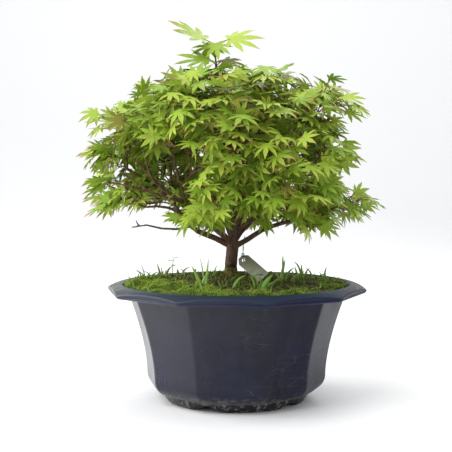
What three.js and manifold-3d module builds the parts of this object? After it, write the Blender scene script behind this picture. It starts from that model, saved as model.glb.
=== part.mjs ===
// A Japanese maple bonsai in a ten-sided glazed pot, with its soil, moss, weeds and name label.
// Millimetres, +Z up. The origin is the centre of the pot's base, and the front faces -Y.
import * as THREE from "three";
import { mergeVertices } from "three/addons/utils/BufferGeometryUtils.js";
import Module from "manifold-3d";

const wasm = await Module();
wasm.setup();

const DEG = Math.PI / 180;
const GAP = 0.35; // left between pieces that touch

// Pot: ten flat panels that flare up to a drooping lip, on a round foot ring with five arches
const SIDES = 10;
const STEPS_PER_SIDE = 4;
const FIRST_CORNER = -6 * DEG;
const LIP_CORNER_R = 157;
const LIP_WIDTH = 21; // from its round inner edge to a corner
const LIP_TOP_Z = 140.5;
const LIP_DEPTH = 11; // from its underside to the top of its inner edge
const LIP_FALL = 7.3; // how far its corners hang below its inner edge
const LIP_SEAT = 3; // the lip's inner edge outside the body's top corners
const BODY_WAIST_R = 108.5;
const BODY_WAIST_Z = 30;
const BODY_FLARE = 1.63; // how late the panels turn outward
const WALL = 6;
const FLOOR = 5;
const FOOT_TOP_R = 87;
const FOOT_BASE_R = 82;
const FOOT_WIDTH = 11;
const FOOT_HEIGHT = 11;
const RECESS = 9; // height of the hollow under the floor
const ARCH_COUNT = 5;
const ARCH_WIDTH = 33;
const ARCH_HEIGHT = 6;
const DRAIN_COUNT = 3;
const DRAIN_R = 9;
const DRAIN_CIRCLE_R = 38;

const LIP_INNER_R = LIP_CORNER_R - LIP_WIDTH;
const LIP_UNDER_Z = LIP_TOP_Z - LIP_DEPTH;
const BODY_TOP_R = LIP_INNER_R - LIP_SEAT;

// Soil and moss
const SOIL_EDGE_DROP = 4; // the soil's edge below the lip
const SOIL_CROWN = 9.5; // the soil's middle above its edge
const MOSS_EDGE = 1.2;

// Wood
const TRUNK_HEIGHT = 44;
const TRUNK_R = 7;
const ROOT_FLARE_R = 11.5;
const ROOT_DEPTH = 9;
const LIMB_SIDES = 6;

// Leaves
const LEAF_LENGTH = 25; // from the stalk's end to the tip of the middle lobe
const LEAF_THICK = 0.8;
const STALK_LENGTH = 15;
const STALK_WIDTH = 1.5;
const TWIG_R = 1.3;

// Name label and its wire
const LABEL_LENGTH = 42;
const LABEL_WIDTH = 16;
const LABEL_THICK = 1;
const LABEL_HOLE_R = 2.3;
const LABEL_END = 6; // from the hole's centre to the rounded end
const WIRE_R = 0.5;

const point = (x, y, z) => new THREE.Vector3(x, y, z);
const lerp = THREE.MathUtils.lerp;

// ---- Solids ----

function solidOf(geometry) {
  const bare = geometry.clone();
  bare.deleteAttribute("normal");
  bare.deleteAttribute("uv");
  const merged = mergeVertices(bare, 1e-3);
  return new wasm.Manifold(
    new wasm.Mesh({
      numProp: 3,
      vertProperties: new Float32Array(merged.attributes.position.array),
      triVerts: new Uint32Array(merged.index.array),
    }),
  );
}

function geometryOf(solid) {
  const mesh = solid.getMesh();
  const geometry = new THREE.BufferGeometry();
  geometry.setAttribute("position", new THREE.BufferAttribute(mesh.vertProperties, 3));
  geometry.setIndex(new THREE.BufferAttribute(mesh.triVerts, 1));
  geometry.computeVertexNormals();
  return geometry;
}

// A closed skin over rings of points, each ring counter-clockwise about the way the rings advance,
// with a fan of triangles over the first ring and over the last. Each four-sided cell is split along
// its shorter diagonal, so that two skins a gap apart are split alike.
function skin(rings) {
  const count = rings[0].length;
  const last = (rings.length - 1) * count;
  const centre = (ring) => ring.reduce((sum, p) => sum.add(p), point(0, 0, 0)).divideScalar(count);
  const points = [...rings.flat(), centre(rings[0]), centre(rings.at(-1))];
  const faces = [];
  for (let r = 0; r < rings.length - 1; r++) {
    for (let c = 0; c < count; c++) {
      const [a, b] = [r * count + c, r * count + ((c + 1) % count)];
      const across = points[a].distanceTo(points[b + count]) <= points[b].distanceTo(points[a + count]);
      if (across) faces.push(a, b, b + count, a, b + count, a + count);
      else faces.push(a, b, a + count, b, b + count, a + count);
    }
  }
  for (let c = 0; c < count; c++) {
    const next = (c + 1) % count;
    faces.push(next, c, points.length - 2, last + c, last + next, points.length - 1);
  }
  const geometry = new THREE.BufferGeometry().setFromPoints(points);
  geometry.setIndex(faces);
  return geometry;
}

// A tube whose half-widths change along a curve: halfWidths(t) gives [across, through].
function taperedTube(curve, halfWidths, sides, steps) {
  const frames = curve.computeFrenetFrames(steps);
  const rings = [];
  for (let i = 0; i <= steps; i++) {
    const [across, through] = halfWidths(i / steps);
    const centre = curve.getPointAt(i / steps);
    rings.push(
      Array.from({ length: sides }, (_, c) => {
        const turn = (c / sides) * 2 * Math.PI;
        return centre
          .clone()
          .addScaledVector(frames.normals[i], across * Math.cos(turn))
          .addScaledVector(frames.binormals[i], through * Math.sin(turn));
      }),
    );
  }
  return skin(rings);
}

const curveThrough = (points) => new THREE.CatmullRomCurve3(points, false, "centripetal");
const roundTaper = (from, to) => (t) => [lerp(from, to, t), lerp(from, to, t)];

// ---- Pot ----

const COLUMNS = SIDES * STEPS_PER_SIDE;
const PANEL = (2 * Math.PI) / SIDES;
const potAngle = (column) => FIRST_CORNER + (column / COLUMNS) * 2 * Math.PI;

// Distance from the axis to a ten-sided outline, or to the circle of like size, mixed by flatness.
function sidedRadius(cornerR, angle, flatness) {
  const fromCorner = THREE.MathUtils.euclideanModulo(angle - FIRST_CORNER, PANEL);
  const flat = (cornerR * Math.cos(PANEL / 2)) / Math.cos(fromCorner - PANEL / 2);
  return lerp(cornerR, flat, flatness);
}

function ringOf(cornerR, z, flatness) {
  return Array.from({ length: COLUMNS }, (_, c) => {
    const r = sidedRadius(cornerR, potAngle(c), flatness);
    return point(r * Math.cos(potAngle(c)), r * Math.sin(potAngle(c)), z);
  });
}

// Corner radius of the body's outside at a height, and how flat its panels are there.
function bodyAt(z) {
  if (z < BODY_WAIST_Z) {
    const drop = (BODY_WAIST_Z - z) / (BODY_WAIST_Z - FOOT_HEIGHT);
    const out = Math.sqrt(Math.max(0, 1 - drop * drop));
    return [lerp(FOOT_TOP_R, BODY_WAIST_R, out), Math.min(1, out * 1.15)];
  }
  const rise = (z - BODY_WAIST_Z) / (LIP_UNDER_Z - BODY_WAIST_Z);
  return [lerp(BODY_WAIST_R, BODY_TOP_R, rise ** BODY_FLARE), 1];
}

// Height of the body at a share of the way from its waist up to the lip.
const panelHeight = (share) => lerp(BODY_WAIST_Z, LIP_UNDER_Z, share);

// The lip's top surface falls away outward, so its corners droop lowest.
const lipTopAt = (r) => LIP_TOP_Z - LIP_FALL * ((r - LIP_INNER_R) / LIP_WIDTH) ** 2;

function lipRing(share, below) {
  return Array.from({ length: COLUMNS }, (_, c) => {
    const outer = sidedRadius(LIP_CORNER_R, potAngle(c), 1);
    const r = lerp(LIP_INNER_R, outer, share);
    return point(r * Math.cos(potAngle(c)), r * Math.sin(potAngle(c)), lipTopAt(r) - below);
  });
}

const INSIDE_FLOOR_Z = RECESS + FLOOR;
const FLOOR_FILLET = 3;
const INSIDE_SHARES = [0.92, 0.64, 0.32, 0]; // of the rings inside the panels, from the top
const INSIDE_HEIGHTS = [...INSIDE_SHARES.map(panelHeight), INSIDE_FLOOR_Z + FLOOR_FILLET];
const insideAt = (z) => [bodyAt(z)[0] - WALL, bodyAt(z)[1]];
const INSIDE_FLOOR_R = insideAt(INSIDE_FLOOR_Z)[0] - FLOOR_FILLET;

// Radius of the inside between its highest ring on the panels and the round edge of the lip.
function collarRadius(angle, z) {
  const low = INSIDE_HEIGHTS[0];
  const panel = sidedRadius(insideAt(low)[0], angle, 1);
  return lerp(panel, LIP_INNER_R, (z - low) / (LIP_TOP_Z - low));
}

function potSolid() {
  const footInnerR = FOOT_BASE_R - FOOT_WIDTH;
  const edge = 2.2; // rounding of the foot's outer lower edge
  const rings = [
    ringOf(footInnerR, RECESS, 0),
    ringOf(footInnerR, 0, 0),
    ringOf(FOOT_BASE_R - edge, 0, 0),
    ringOf(FOOT_BASE_R + edge * 0.7, edge * 0.6, 0),
    ringOf(FOOT_TOP_R - 0.5, FOOT_HEIGHT * 0.55, 0),
    ringOf(FOOT_TOP_R, FOOT_HEIGHT, 0),
  ];
  for (let step = 1; step <= 3; step++) {
    const z = BODY_WAIST_Z - (BODY_WAIST_Z - FOOT_HEIGHT) * Math.cos((step / 3) * (Math.PI / 2));
    rings.push(ringOf(bodyAt(z)[0], z, bodyAt(z)[1]));
  }
  for (const z of [0.24, 0.48, 0.68, 0.84, 1].map(panelHeight)) rings.push(ringOf(bodyAt(z)[0], z, 1));
  rings.push(
    ringOf(LIP_CORNER_R - 4, LIP_UNDER_Z, 1),
    ringOf(LIP_CORNER_R, LIP_UNDER_Z + 1.5, 1),
    lipRing(1, 1),
    lipRing(0.93, 0),
    lipRing(0.45, 0),
    lipRing(0, 0),
  );
  for (const z of INSIDE_HEIGHTS) rings.push(ringOf(insideAt(z)[0], z, insideAt(z)[1]));
  rings.push(ringOf(INSIDE_FLOOR_R, INSIDE_FLOOR_Z, 0));

  let pot = solidOf(skin(rings));
  for (const arch of footArches()) pot = pot.subtract(arch);
  for (const drain of drainHoles()) pot = pot.subtract(drain);
  return pot;
}

// Ogee gaps in the foot ring, one under every second corner, that leave five feet.
function footArches() {
  const below = -2;
  const outline = new THREE.Shape();
  outline.moveTo(-ARCH_WIDTH / 2, below);
  outline.lineTo(ARCH_WIDTH / 2, below);
  for (let step = 6; step >= -6; step--) {
    const rise = ARCH_HEIGHT * (0.5 + 0.5 * Math.cos((step / 6) * Math.PI));
    outline.lineTo((step / 12) * ARCH_WIDTH, rise);
  }
  const reach = FOOT_TOP_R + 8;
  return Array.from({ length: ARCH_COUNT }, (_, k) => {
    const cutter = new THREE.ExtrudeGeometry(outline, { depth: reach - 40, bevelEnabled: false });
    cutter.rotateX(Math.PI / 2);
    cutter.translate(0, reach, 0);
    cutter.rotateZ(FIRST_CORNER + 2 * PANEL * k - Math.PI / 2 + PANEL);
    return solidOf(cutter);
  });
}

function drainHoles() {
  return Array.from({ length: DRAIN_COUNT }, (_, k) => {
    const angle = (k / DRAIN_COUNT) * 2 * Math.PI - Math.PI / 2;
    const drain = new THREE.CylinderGeometry(DRAIN_R, DRAIN_R, FLOOR * 4, 12);
    drain.rotateX(Math.PI / 2);
    drain.translate(
      DRAIN_CIRCLE_R * Math.cos(angle),
      DRAIN_CIRCLE_R * Math.sin(angle),
      RECESS + FLOOR / 2,
    );
    return solidOf(drain);
  });
}

// ---- Soil, moss ----

const SOIL_EDGE_Z = LIP_TOP_Z - SOIL_EDGE_DROP;
const SOIL_R = collarRadius(FIRST_CORNER, SOIL_EDGE_Z) - GAP * 2;

// Height of the soil's top: a low dome with gentle lumps.
function soilTop(x, y) {
  const share = Math.min(1, Math.hypot(x, y) / SOIL_R);
  const lumps = 0.9 * Math.sin(x / 17 + 0.8) * Math.cos(y / 14) * (1 - share);
  return SOIL_EDGE_Z + SOIL_CROWN * (1 - share ** 2.2) + lumps;
}
const TREE_BASE = point(-5, 0, soilTop(-5, 0));

function soilSolid(hollows) {
  const insideR = (z) => insideAt(z)[0] - GAP * 2;
  const rings = [ringOf(INSIDE_FLOOR_R - GAP * 2, INSIDE_FLOOR_Z + GAP, 0)];
  for (const z of [...INSIDE_HEIGHTS].reverse()) rings.push(ringOf(insideR(z), z, insideAt(z)[1]));
  for (const share of [1, 0.75, 0.5, 0.25]) {
    rings.push(
      Array.from({ length: COLUMNS }, (_, c) => {
        const r = (collarRadius(potAngle(c), SOIL_EDGE_Z) - GAP * 2) * share;
        const [x, y] = [r * Math.cos(potAngle(c)), r * Math.sin(potAngle(c))];
        return point(x, y, share === 1 ? SOIL_EDGE_Z : soilTop(x, y));
      }),
    );
  }
  return hollows.reduce((soil, hollow) => soil.subtract(hollow), solidOf(skin(rings)));
}

// Each cushion: the angle of its centre, the centre's distance in from the soil's edge, half its length
// round the pot in degrees, half its width, and its height.
const MOSS_CUSHIONS = {
  moss_left: { angle: 195, inset: 37, spread: 24, across: 32, height: 6 },
  moss_front_left: { angle: 241, inset: 26, spread: 16.5, across: 19, height: 4.5 },
  moss_front: { angle: 279, inset: 24, spread: 17, across: 17, height: 4 },
  moss_front_right: { angle: 317, inset: 28, spread: 17, across: 20, height: 4.5 },
  moss_right: { angle: 1, inset: 37, spread: 22.5, across: 28, height: 5 },
  moss_back_right: { angle: 62, inset: 38, spread: 25.5, across: 28, height: 5 },
  moss_back_left: { angle: 126, inset: 38, spread: 27.5, across: 28, height: 5 },
};

// A cushion's own outline is an ellipse with a wavy edge. Turn goes round it, from the side nearest the
// pot's wall, and share is how far out a point lies.
const mossWave = (cushion, turn) => 1 + 0.06 * Math.sin(5 * turn + cushion.angle) + 0.04 * Math.sin(3 * turn);

function mossPoint(cushion, turn, share) {
  const out = share * mossWave(cushion, turn);
  const angle = (cushion.angle + cushion.spread * out * Math.sin(turn)) * DEG;
  const r = SOIL_R - cushion.inset + cushion.across * out * Math.cos(turn);
  return [r * Math.cos(angle), r * Math.sin(angle)];
}

function mossShare(cushion, x, y) {
  const turn = Math.atan2(y, x) - cushion.angle * DEG;
  const along = Math.atan2(Math.sin(turn), Math.cos(turn)) / (cushion.spread * DEG);
  const across = (Math.hypot(x, y) - SOIL_R + cushion.inset) / cushion.across;
  return Math.hypot(along, across) / mossWave(cushion, Math.atan2(along, across));
}

const mossLift = (cushion, share) =>
  MOSS_EDGE + (cushion.height - MOSS_EDGE) * Math.sqrt(Math.max(0, 1 - share ** 2.4));

// Top of the soil or moss under a round foot of radius r, with a gap.
function restingHeight(x, y, r) {
  const turns = Array.from({ length: 8 }, (_, k) => k * 45 * DEG);
  const edge = turns.map((turn) => [x + r * Math.cos(turn), y + r * Math.sin(turn)]);
  const heights = [[x, y], ...edge].map(([px, py]) => {
    const cushions = Object.values(MOSS_CUSHIONS).filter((cushion) => mossShare(cushion, px, py) < 1);
    const lifts = cushions.map((cushion) => GAP + mossLift(cushion, mossShare(cushion, px, py)));
    return soilTop(px, py) + Math.max(0, ...lifts);
  });
  return Math.max(...heights) + GAP;
}

function mossSolid(cushion) {
  const sides = 14;
  const ring = (share, lift) =>
    Array.from({ length: sides }, (_, c) => {
      const [x, y] = mossPoint(cushion, (c / sides) * 2 * Math.PI, share);
      return point(x, y, soilTop(x, y) + GAP + lift);
    });
  const rings = [0.5, 1].map((share) => ring(share, 0));
  for (const share of [1, 0.85, 0.5]) rings.push(ring(share, mossLift(cushion, share)));
  return solidOf(skin(rings));
}

// ---- Trunk and limbs ----

// Limbs by their own points, measured sideways from the trunk's foot and up from its top: from and at
// say where on the parent the limb starts, and thick gives its radius at each end.
const LIMBS = {
  left_low: {
    from: "trunk", at: 0.86, thick: [4.2, 1.5],
    via: [[-16, -2, 2], [-38, -8, 11], [-54, -14, 22], [-70, -18, 48], [-98, -26, 72], [-122, -32, 86]],
  },
  left_rise: {
    from: "left_low", at: 0.58, thick: [2.3, 1.3],
    via: [[-72, -22, 78], [-70, -28, 106], [-76, -30, 128]],
  },
  left_side: {
    from: "left_low", at: 0.5, thick: [2, 1.2],
    via: [[-84, -6, 42], [-102, 2, 40], [-118, 6, 46]],
  },
  bare_twig: {
    from: "left_low", at: 0.36, thick: [1.7, 0.9],
    via: [[-70, -26, 15], [-90, -30, 18], [-104, -32, 21], [-112, -33, 17], [-117, -33, 18]],
  },
  right_low: {
    from: "trunk", at: 0.84, thick: [3.8, 1.4],
    via: [[14, 2, -2], [34, 6, 11], [52, 11, 18], [76, 17, 24], [104, 24, 32], [132, 32, 40]],
  },
  right_front: {
    from: "trunk", at: 0.94, thick: [3.2, 1.4],
    via: [[8, -8, 14], [24, -20, 26], [42, -34, 36], [58, -48, 42], [80, -60, 49]],
  },
  right_up: {
    from: "trunk", at: 0.97, thick: [3.2, 1.4],
    via: [[6, 3, 16], [17, 6, 34], [44, 8, 48], [72, 6, 70], [98, 3, 92]],
  },
  right_top: {
    from: "trunk", at: 1, thick: [3.6, 1.4],
    via: [[9, 5, 22], [22, 9, 52], [42, 12, 76], [62, 15, 108], [78, 18, 140]],
  },
  leader: {
    from: "trunk", at: 1, thick: [4.4, 1.1],
    via: [[0, 0, 28], [6, 0, 66], [4, -1, 102], [-6, -1, 132], [-14, 0, 162], [-18, 0, 194], [-19, 0, 222]],
  },
  left_top: {
    from: "trunk", at: 0.98, thick: [3.4, 1.3],
    via: [[-8, 4, 24], [-24, 7, 52], [-44, 8, 88], [-58, 6, 122], [-64, 5, 156]],
  },
  front: {
    from: "trunk", at: 0.93, thick: [3.2, 1.4],
    via: [[3, -16, 14], [8, -38, 32], [10, -60, 54], [10, -82, 76]],
  },
  front_left: {
    from: "trunk", at: 0.9, thick: [3, 1.4],
    via: [[-10, -14, 10], [-26, -38, 26], [-42, -60, 48], [-54, -78, 68]],
  },
  front_top: {
    from: "leader", at: 0.2, thick: [2.4, 1.2],
    via: [[8, -18, 68], [16, -36, 104], [22, -52, 136]],
  },
  back: {
    from: "trunk", at: 0.92, thick: [3.2, 1.4],
    via: [[2, 18, 14], [6, 42, 34], [6, 66, 58], [4, 88, 82]],
  },
  back_left: {
    from: "trunk", at: 0.88, thick: [3.2, 1.4],
    via: [[-14, 14, 8], [-36, 36, 24], [-58, 58, 46], [-76, 76, 72]],
  },
  back_right: {
    from: "trunk", at: 0.9, thick: [3.2, 1.4],
    via: [[12, 14, 10], [32, 36, 28], [54, 58, 50], [76, 76, 70]],
  },
  back_top: {
    from: "leader", at: 0.24, thick: [2.4, 1.2],
    via: [[8, 20, 74], [10, 38, 110], [8, 52, 142]],
  },
};

const abovePoint = ([x, y, above]) => point(x, y, TRUNK_HEIGHT + above);

const limbCurves = {
  trunk: curveThrough([
    point(0, 0, -ROOT_DEPTH),
    point(-0.6, 0, TRUNK_HEIGHT * 0.3),
    point(0.6, 0, TRUNK_HEIGHT * 0.65),
    point(2, 0, TRUNK_HEIGHT),
  ]),
};
for (const [name, limb] of Object.entries(LIMBS)) {
  const start = limbCurves[limb.from].getPointAt(limb.at);
  limbCurves[name] = curveThrough([start, ...limb.via.map(abovePoint)]);
}

const limbRadius = (name, t) => lerp(...LIMBS[name].thick, t);

// The trunk widens into the roots at its foot, and swells a little where the limbs leave it.
function trunkRadius(t) {
  const height = t * (TRUNK_HEIGHT + ROOT_DEPTH) - ROOT_DEPTH;
  const flare = (ROOT_FLARE_R - TRUNK_R) * Math.exp(-Math.max(0, height) / 5);
  const swell = 0.12 * TRUNK_R * Math.max(0, (height - TRUNK_HEIGHT * 0.7) / (TRUNK_HEIGHT * 0.3));
  return TRUNK_R + flare + swell;
}

function woodSolid() {
  const round = (r) => [r, r];
  let wood = solidOf(taperedTube(limbCurves.trunk, (t) => round(trunkRadius(t)), 12, 10));
  for (const [name, limb] of Object.entries(LIMBS)) {
    const steps = Math.max(4, Math.round(limbCurves[name].getLength() / 22));
    wood = wood.add(
      solidOf(taperedTube(limbCurves[name], roundTaper(...limb.thick), LIMB_SIDES, steps)),
    );
  }
  return wood.add(bareTwigFork());
}

// The leafless twig ends in a short fork.
function bareTwigFork() {
  const start = limbCurves.bare_twig.getPointAt(0.86);
  const fork = curveThrough([start, start.clone().add(point(-3, 0, 3)), start.clone().add(point(-4, 0, 7))]);
  return solidOf(taperedTube(fork, roundTaper(1.1, 0.7), LIMB_SIDES, 3));
}

// The roots' hole in the soil, a clearance wider than the trunk's foot.
function rootHoleSolid() {
  const sides = 16;
  const holeR = (ROOT_FLARE_R + GAP) / Math.cos(Math.PI / sides);
  const line = curveThrough([point(0, 0, -ROOT_DEPTH - GAP), point(-0.4, 0, 4), point(-0.6, 0, 14)]);
  const hole = taperedTube(line, roundTaper(holeR, holeR), sides, 3);
  hole.translate(...TREE_BASE.toArray());
  return solidOf(hole);
}

// ---- Leaf sprays ----

// Sprays by limb: where on the limb the twig leaves it, and where the twig ends, placed as the limbs are.
const SPRAYS = {
  left_low: [[1, [-142, -42, 110]], [0.84, [-124, -62, 74]]],
  left_side: [[1, [-138, 10, 54]]],
  left_rise: [[1, [-100, -44, 158]], [0.62, [-112, -6, 116]]],
  right_low: [[1, [149, 36, 54]], [0.72, [104, 66, 62]]],
  right_front: [[1, [104, -82, 66]], [0.66, [66, -92, 44]]],
  right_up: [[1, [130, -6, 114]], [0.66, [98, 46, 94]]],
  right_top: [[1, [110, 14, 188]], [0.74, [80, -38, 152]]],
  leader: [[1, [-22, 0, 240]], [0.84, [-58, -22, 206]], [0.72, [28, -10, 202]], [0.78, [-6, 40, 198]]],
  left_top: [[1, [-90, -2, 186]], [0.74, [-92, 46, 146]]],
  front: [[1, [2, -122, 98]], [0.64, [-20, -98, 56]]],
  front_left: [[1, [-74, -112, 92]]],
  front_top: [[1, [30, -90, 168]], [0.7, [-26, -74, 148]]],
  back: [[1, [0, 124, 104]], [0.66, [24, 96, 54]]],
  back_left: [[1, [-102, 102, 92]]],
  back_right: [[1, [102, 102, 86]]],
  back_top: [[1, [10, 90, 170]]],
};

// Where on a twig each leaf's stalk starts, the side it grows to, and how far it turns off the twig.
// Rise is the leaf's slope along its own length.
const LEAF_PLACES = [
  { at: 0.4, turn: 68, rise: -0.55 },
  { at: 0.52, turn: -72, rise: -0.7 },
  { at: 0.86, turn: 56, rise: -0.95 },
  { at: 0.93, turn: -58, rise: -0.8 },
  { at: 1, turn: 0, rise: -0.3 },
];
// Lobes from the middle one to one side: angle off the middle, and length as a share of it.
const LOBES = [[0, 1], [38, 0.92], [80, 0.68]];
const NOTCH = 0.36;

// The outline of one leaf with its stalk, lying along +Y from the stalk's foot at the origin.
function leafOutline(grow) {
  const base = STALK_LENGTH;
  const tips = [...LOBES.slice(1).reverse().map(([a, l]) => [-a, l]), ...LOBES];
  const at = (angle, length) =>
    new THREE.Vector2(Math.sin(angle * DEG) * length, base + Math.cos(angle * DEG) * length);
  const points = [new THREE.Vector2(STALK_WIDTH / 2, 0)];
  points.push(new THREE.Vector2(STALK_WIDTH / 2, base));
  const lobes = [...tips].reverse();
  lobes.forEach(([angle, length], i) => {
    points.push(at(angle, LEAF_LENGTH * length * grow));
    if (i < lobes.length - 1) {
      const between = (angle + lobes[i + 1][0]) / 2;
      points.push(at(between, LEAF_LENGTH * NOTCH * grow));
    }
  });
  points.push(new THREE.Vector2(-STALK_WIDTH / 2, base), new THREE.Vector2(-STALK_WIDTH / 2, 0));
  return new THREE.Shape(points);
}

function leafSolid(place, grow, thick) {
  const leaf = new THREE.ExtrudeGeometry(leafOutline(grow), { depth: thick, bevelEnabled: false });
  leaf.translate(0, 0, -thick / 2);
  leaf.applyMatrix4(place);
  return solidOf(leaf);
}

// The stalk's foot on the twig, with the blade's face up and its tip outward and a little down.
function leafPlace(twig, { at, turn, rise }) {
  const run = twig.getPointAt(1).sub(twig.getPointAt(0)).normalize();
  const upright = Math.max(0, Math.abs(run.z) - 0.6) / 0.4;
  const heading = Math.atan2(run.y, run.x);
  const angle = heading + turn * (1 + 1.3 * upright) * DEG;
  const along = point(Math.cos(angle), Math.sin(angle), rise + 1.1 * upright).normalize();
  const across = along.clone().cross(point(0, 0, 1)).normalize();
  const face = across.clone().cross(along);
  return new THREE.Matrix4().makeBasis(across, along, face).setPosition(twig.getPointAt(at));
}

// The twig's own line: it leaves the limb's surface and bends gently up, then levels at its tip.
function twigCurve(limbName, at, tip) {
  const start = limbCurves[limbName].getPointAt(at);
  const end = abovePoint(tip);
  const along = end.clone().sub(start).normalize();
  const slant = along.angleTo(limbCurves[limbName].getTangentAt(at));
  const beyondTip = (GAP * 2 + TWIG_R * Math.sin(slant)) / Math.cos(slant);
  const besideLimb = (limbRadius(limbName, at) * 1.1 + TWIG_R + GAP) / Math.sin(slant);
  start.addScaledVector(along, at === 1 ? beyondTip : besideLimb);
  const middle = start.clone().lerp(end, 0.5).add(point(0, 0, 3));
  return curveThrough([start, middle, end]);
}

function growSprays(wood) {
  const twigs = {};
  for (const [limbName, sprays] of Object.entries(SPRAYS)) {
    sprays.forEach(([at, tip], n) => {
      const line = twigCurve(limbName, at, tip);
      const solid = solidOf(taperedTube(line, roundTaper(TWIG_R, TWIG_R * 0.6), 4, 3));
      twigs[`leaves_${limbName}_${n + 1}`] = { line, solid };
    });
  }
  const grown = {};
  for (const [name, twig] of Object.entries(twigs)) {
    const neighbours = Object.keys(twigs).filter((n) => n !== name);
    const others = [wood, ...neighbours.map((n) => grown[n] ?? twigs[n].solid)];
    let spray = twig.solid;
    for (const leafAt of LEAF_PLACES) {
      const place = leafPlace(twig.line, leafAt);
      const room = leafSolid(place, 1.03, LEAF_THICK + 2 * GAP);
      const clear = others.every((other) => room.intersect(other).isEmpty());
      if (clear) spray = spray.add(leafSolid(place, 1, LEAF_THICK));
    }
    grown[name] = spray;
  }
  return grown;
}

// ---- Weeds ----

// Each tuft: where it stands, in soil radii, and its blades' tips from the tuft's foot.
const GRASS_TUFTS = {
  grass_back_left: { at: [-0.69, 0.45], blades: [[-6, 0, 17], [3, -2, 12], [-9, 6, 9]] },
  grass_left: { at: [-0.825, 0.15], blades: [[-16, -2, 8], [8, 3, 10]] },
  grass_front_left: { at: [-0.285, -0.69], blades: [[-9, 0, 22], [6, 0, 38]] },
  grass_front: { at: [-0.03, -0.66], blades: [[15, -2, 16], [11, 4, 7]] },
  grass_front_right: { at: [0.202, -0.66], blades: [[14, 2, 16], [20, 8, 10]] },
  grass_right: { at: [0.54, -0.285], blades: [[-8, 0, 19], [-4, -2, 26], [-17, 14, 28], [12, -6, 8]] },
  grass_back_right: { at: [0.817, 0.225], blades: [[4, 0, 17], [-6, 4, 9]] },
};
const BLADE_HALF = 1.3;
const TUFT_FOOT_R = BLADE_HALF * 1.5;
const STEM_R = 0.7;

function tuftSolid({ at, blades }) {
  const [x, y] = at.map((share) => share * SOIL_R);
  const foot = point(x, y, restingHeight(x, y, TUFT_FOOT_R));
  const collar = new THREE.CylinderGeometry(BLADE_HALF * 1.2, TUFT_FOOT_R, 3, 7);
  collar.rotateX(Math.PI / 2);
  collar.translate(foot.x, foot.y, foot.z + 1.5);
  return blades.reduce((tuft, tip) => {
    const end = foot.clone().add(point(...tip));
    const bow = foot.clone().add(point(tip[0] * 0.28, tip[1] * 0.28, tip[2] * 0.78));
    const line = new THREE.QuadraticBezierCurve3(foot.clone().add(point(0, 0, 1)), bow, end);
    const narrow = (t) => [lerp(BLADE_HALF, 0.4, t * t), 0.4];
    return tuft.add(solidOf(taperedTube(line, narrow, 4, 4)));
  }, solidOf(collar));
}

const SEEDLINGS = {
  seedling_left: { at: [-0.6, 0.6], height: 17, leaves: [[0.55, 30], [0.6, 210], [1, 120], [0.95, 300]] },
  seedling_right: { at: [0.12, -0.435], height: 9, leaves: [[1, 350]] },
};

// A thin stem with oval seed leaves on it.
function seedlingSolid({ at, height, leaves }) {
  const [x, y] = at.map((share) => share * SOIL_R);
  const foot = point(x, y, restingHeight(x, y, STEM_R));
  const stem = new THREE.QuadraticBezierCurve3(
    foot, foot.clone().add(point(-1, 0, height * 0.6)), foot.clone().add(point(2, 0, height)),
  );
  const body = solidOf(taperedTube(stem, roundTaper(STEM_R, STEM_R * 0.7), 5, 3));
  return leaves.reduce((plant, [up, heading]) => {
    const outline = new THREE.Shape().absellipse(3.2, 0, 3.6, 2, 0, 2 * Math.PI);
    const leaf = new THREE.ExtrudeGeometry(outline, { depth: 0.8, bevelEnabled: false, curveSegments: 4 });
    leaf.rotateY(-20 * DEG);
    leaf.rotateZ(heading * DEG);
    const on = stem.getPointAt(up);
    leaf.translate(on.x, on.y, on.z - 0.6);
    return plant.add(solidOf(leaf));
  }, body);
}

// ---- Name label and wire ----

// The label leans back on its wire with its far lower corner pressed into the soil. It slopes down in its
// own plane, leans back, and turns about its hole, in that order.
const LABEL_HOLE = point(14.5, -15, 22); // from the trunk's foot
const LABEL_SLOPE = -37 * DEG;
const LABEL_LEAN = 30 * DEG;
const LABEL_TURN = -20 * DEG;

function labelMatrix() {
  return new THREE.Matrix4()
    .makeRotationZ(LABEL_TURN)
    .multiply(new THREE.Matrix4().makeRotationX(Math.PI / 2 - LABEL_LEAN))
    .multiply(new THREE.Matrix4().makeRotationZ(LABEL_SLOPE));
}

function labelGeometry() {
  const half = LABEL_WIDTH / 2;
  const outline = new THREE.Shape();
  outline.moveTo(LABEL_LENGTH - LABEL_END, -half);
  outline.lineTo(LABEL_LENGTH - LABEL_END, half);
  outline.lineTo(0, half);
  outline.lineTo(-LABEL_END, half * 0.4);
  outline.lineTo(-LABEL_END, -half * 0.4);
  outline.lineTo(0, -half);
  outline.holes.push(new THREE.Path().absarc(0, 0, LABEL_HOLE_R, 0, 2 * Math.PI, true));
  const label = new THREE.ExtrudeGeometry(outline, {
    depth: LABEL_THICK, bevelEnabled: false, curveSegments: 6,
  });
  label.translate(0, 0, -LABEL_THICK / 2);
  return label;
}

// The slot in the soil round the label's buried corner.
function labelSlotSolid() {
  const slot = new THREE.BoxGeometry(LABEL_LENGTH, LABEL_WIDTH + GAP * 2, LABEL_THICK + GAP * 2);
  slot.translate(LABEL_LENGTH / 2 - LABEL_END + GAP, 0, 0);
  slot.applyMatrix4(labelMatrix());
  slot.translate(...LABEL_HOLE.clone().add(TREE_BASE).toArray());
  return solidOf(slot);
}

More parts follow.
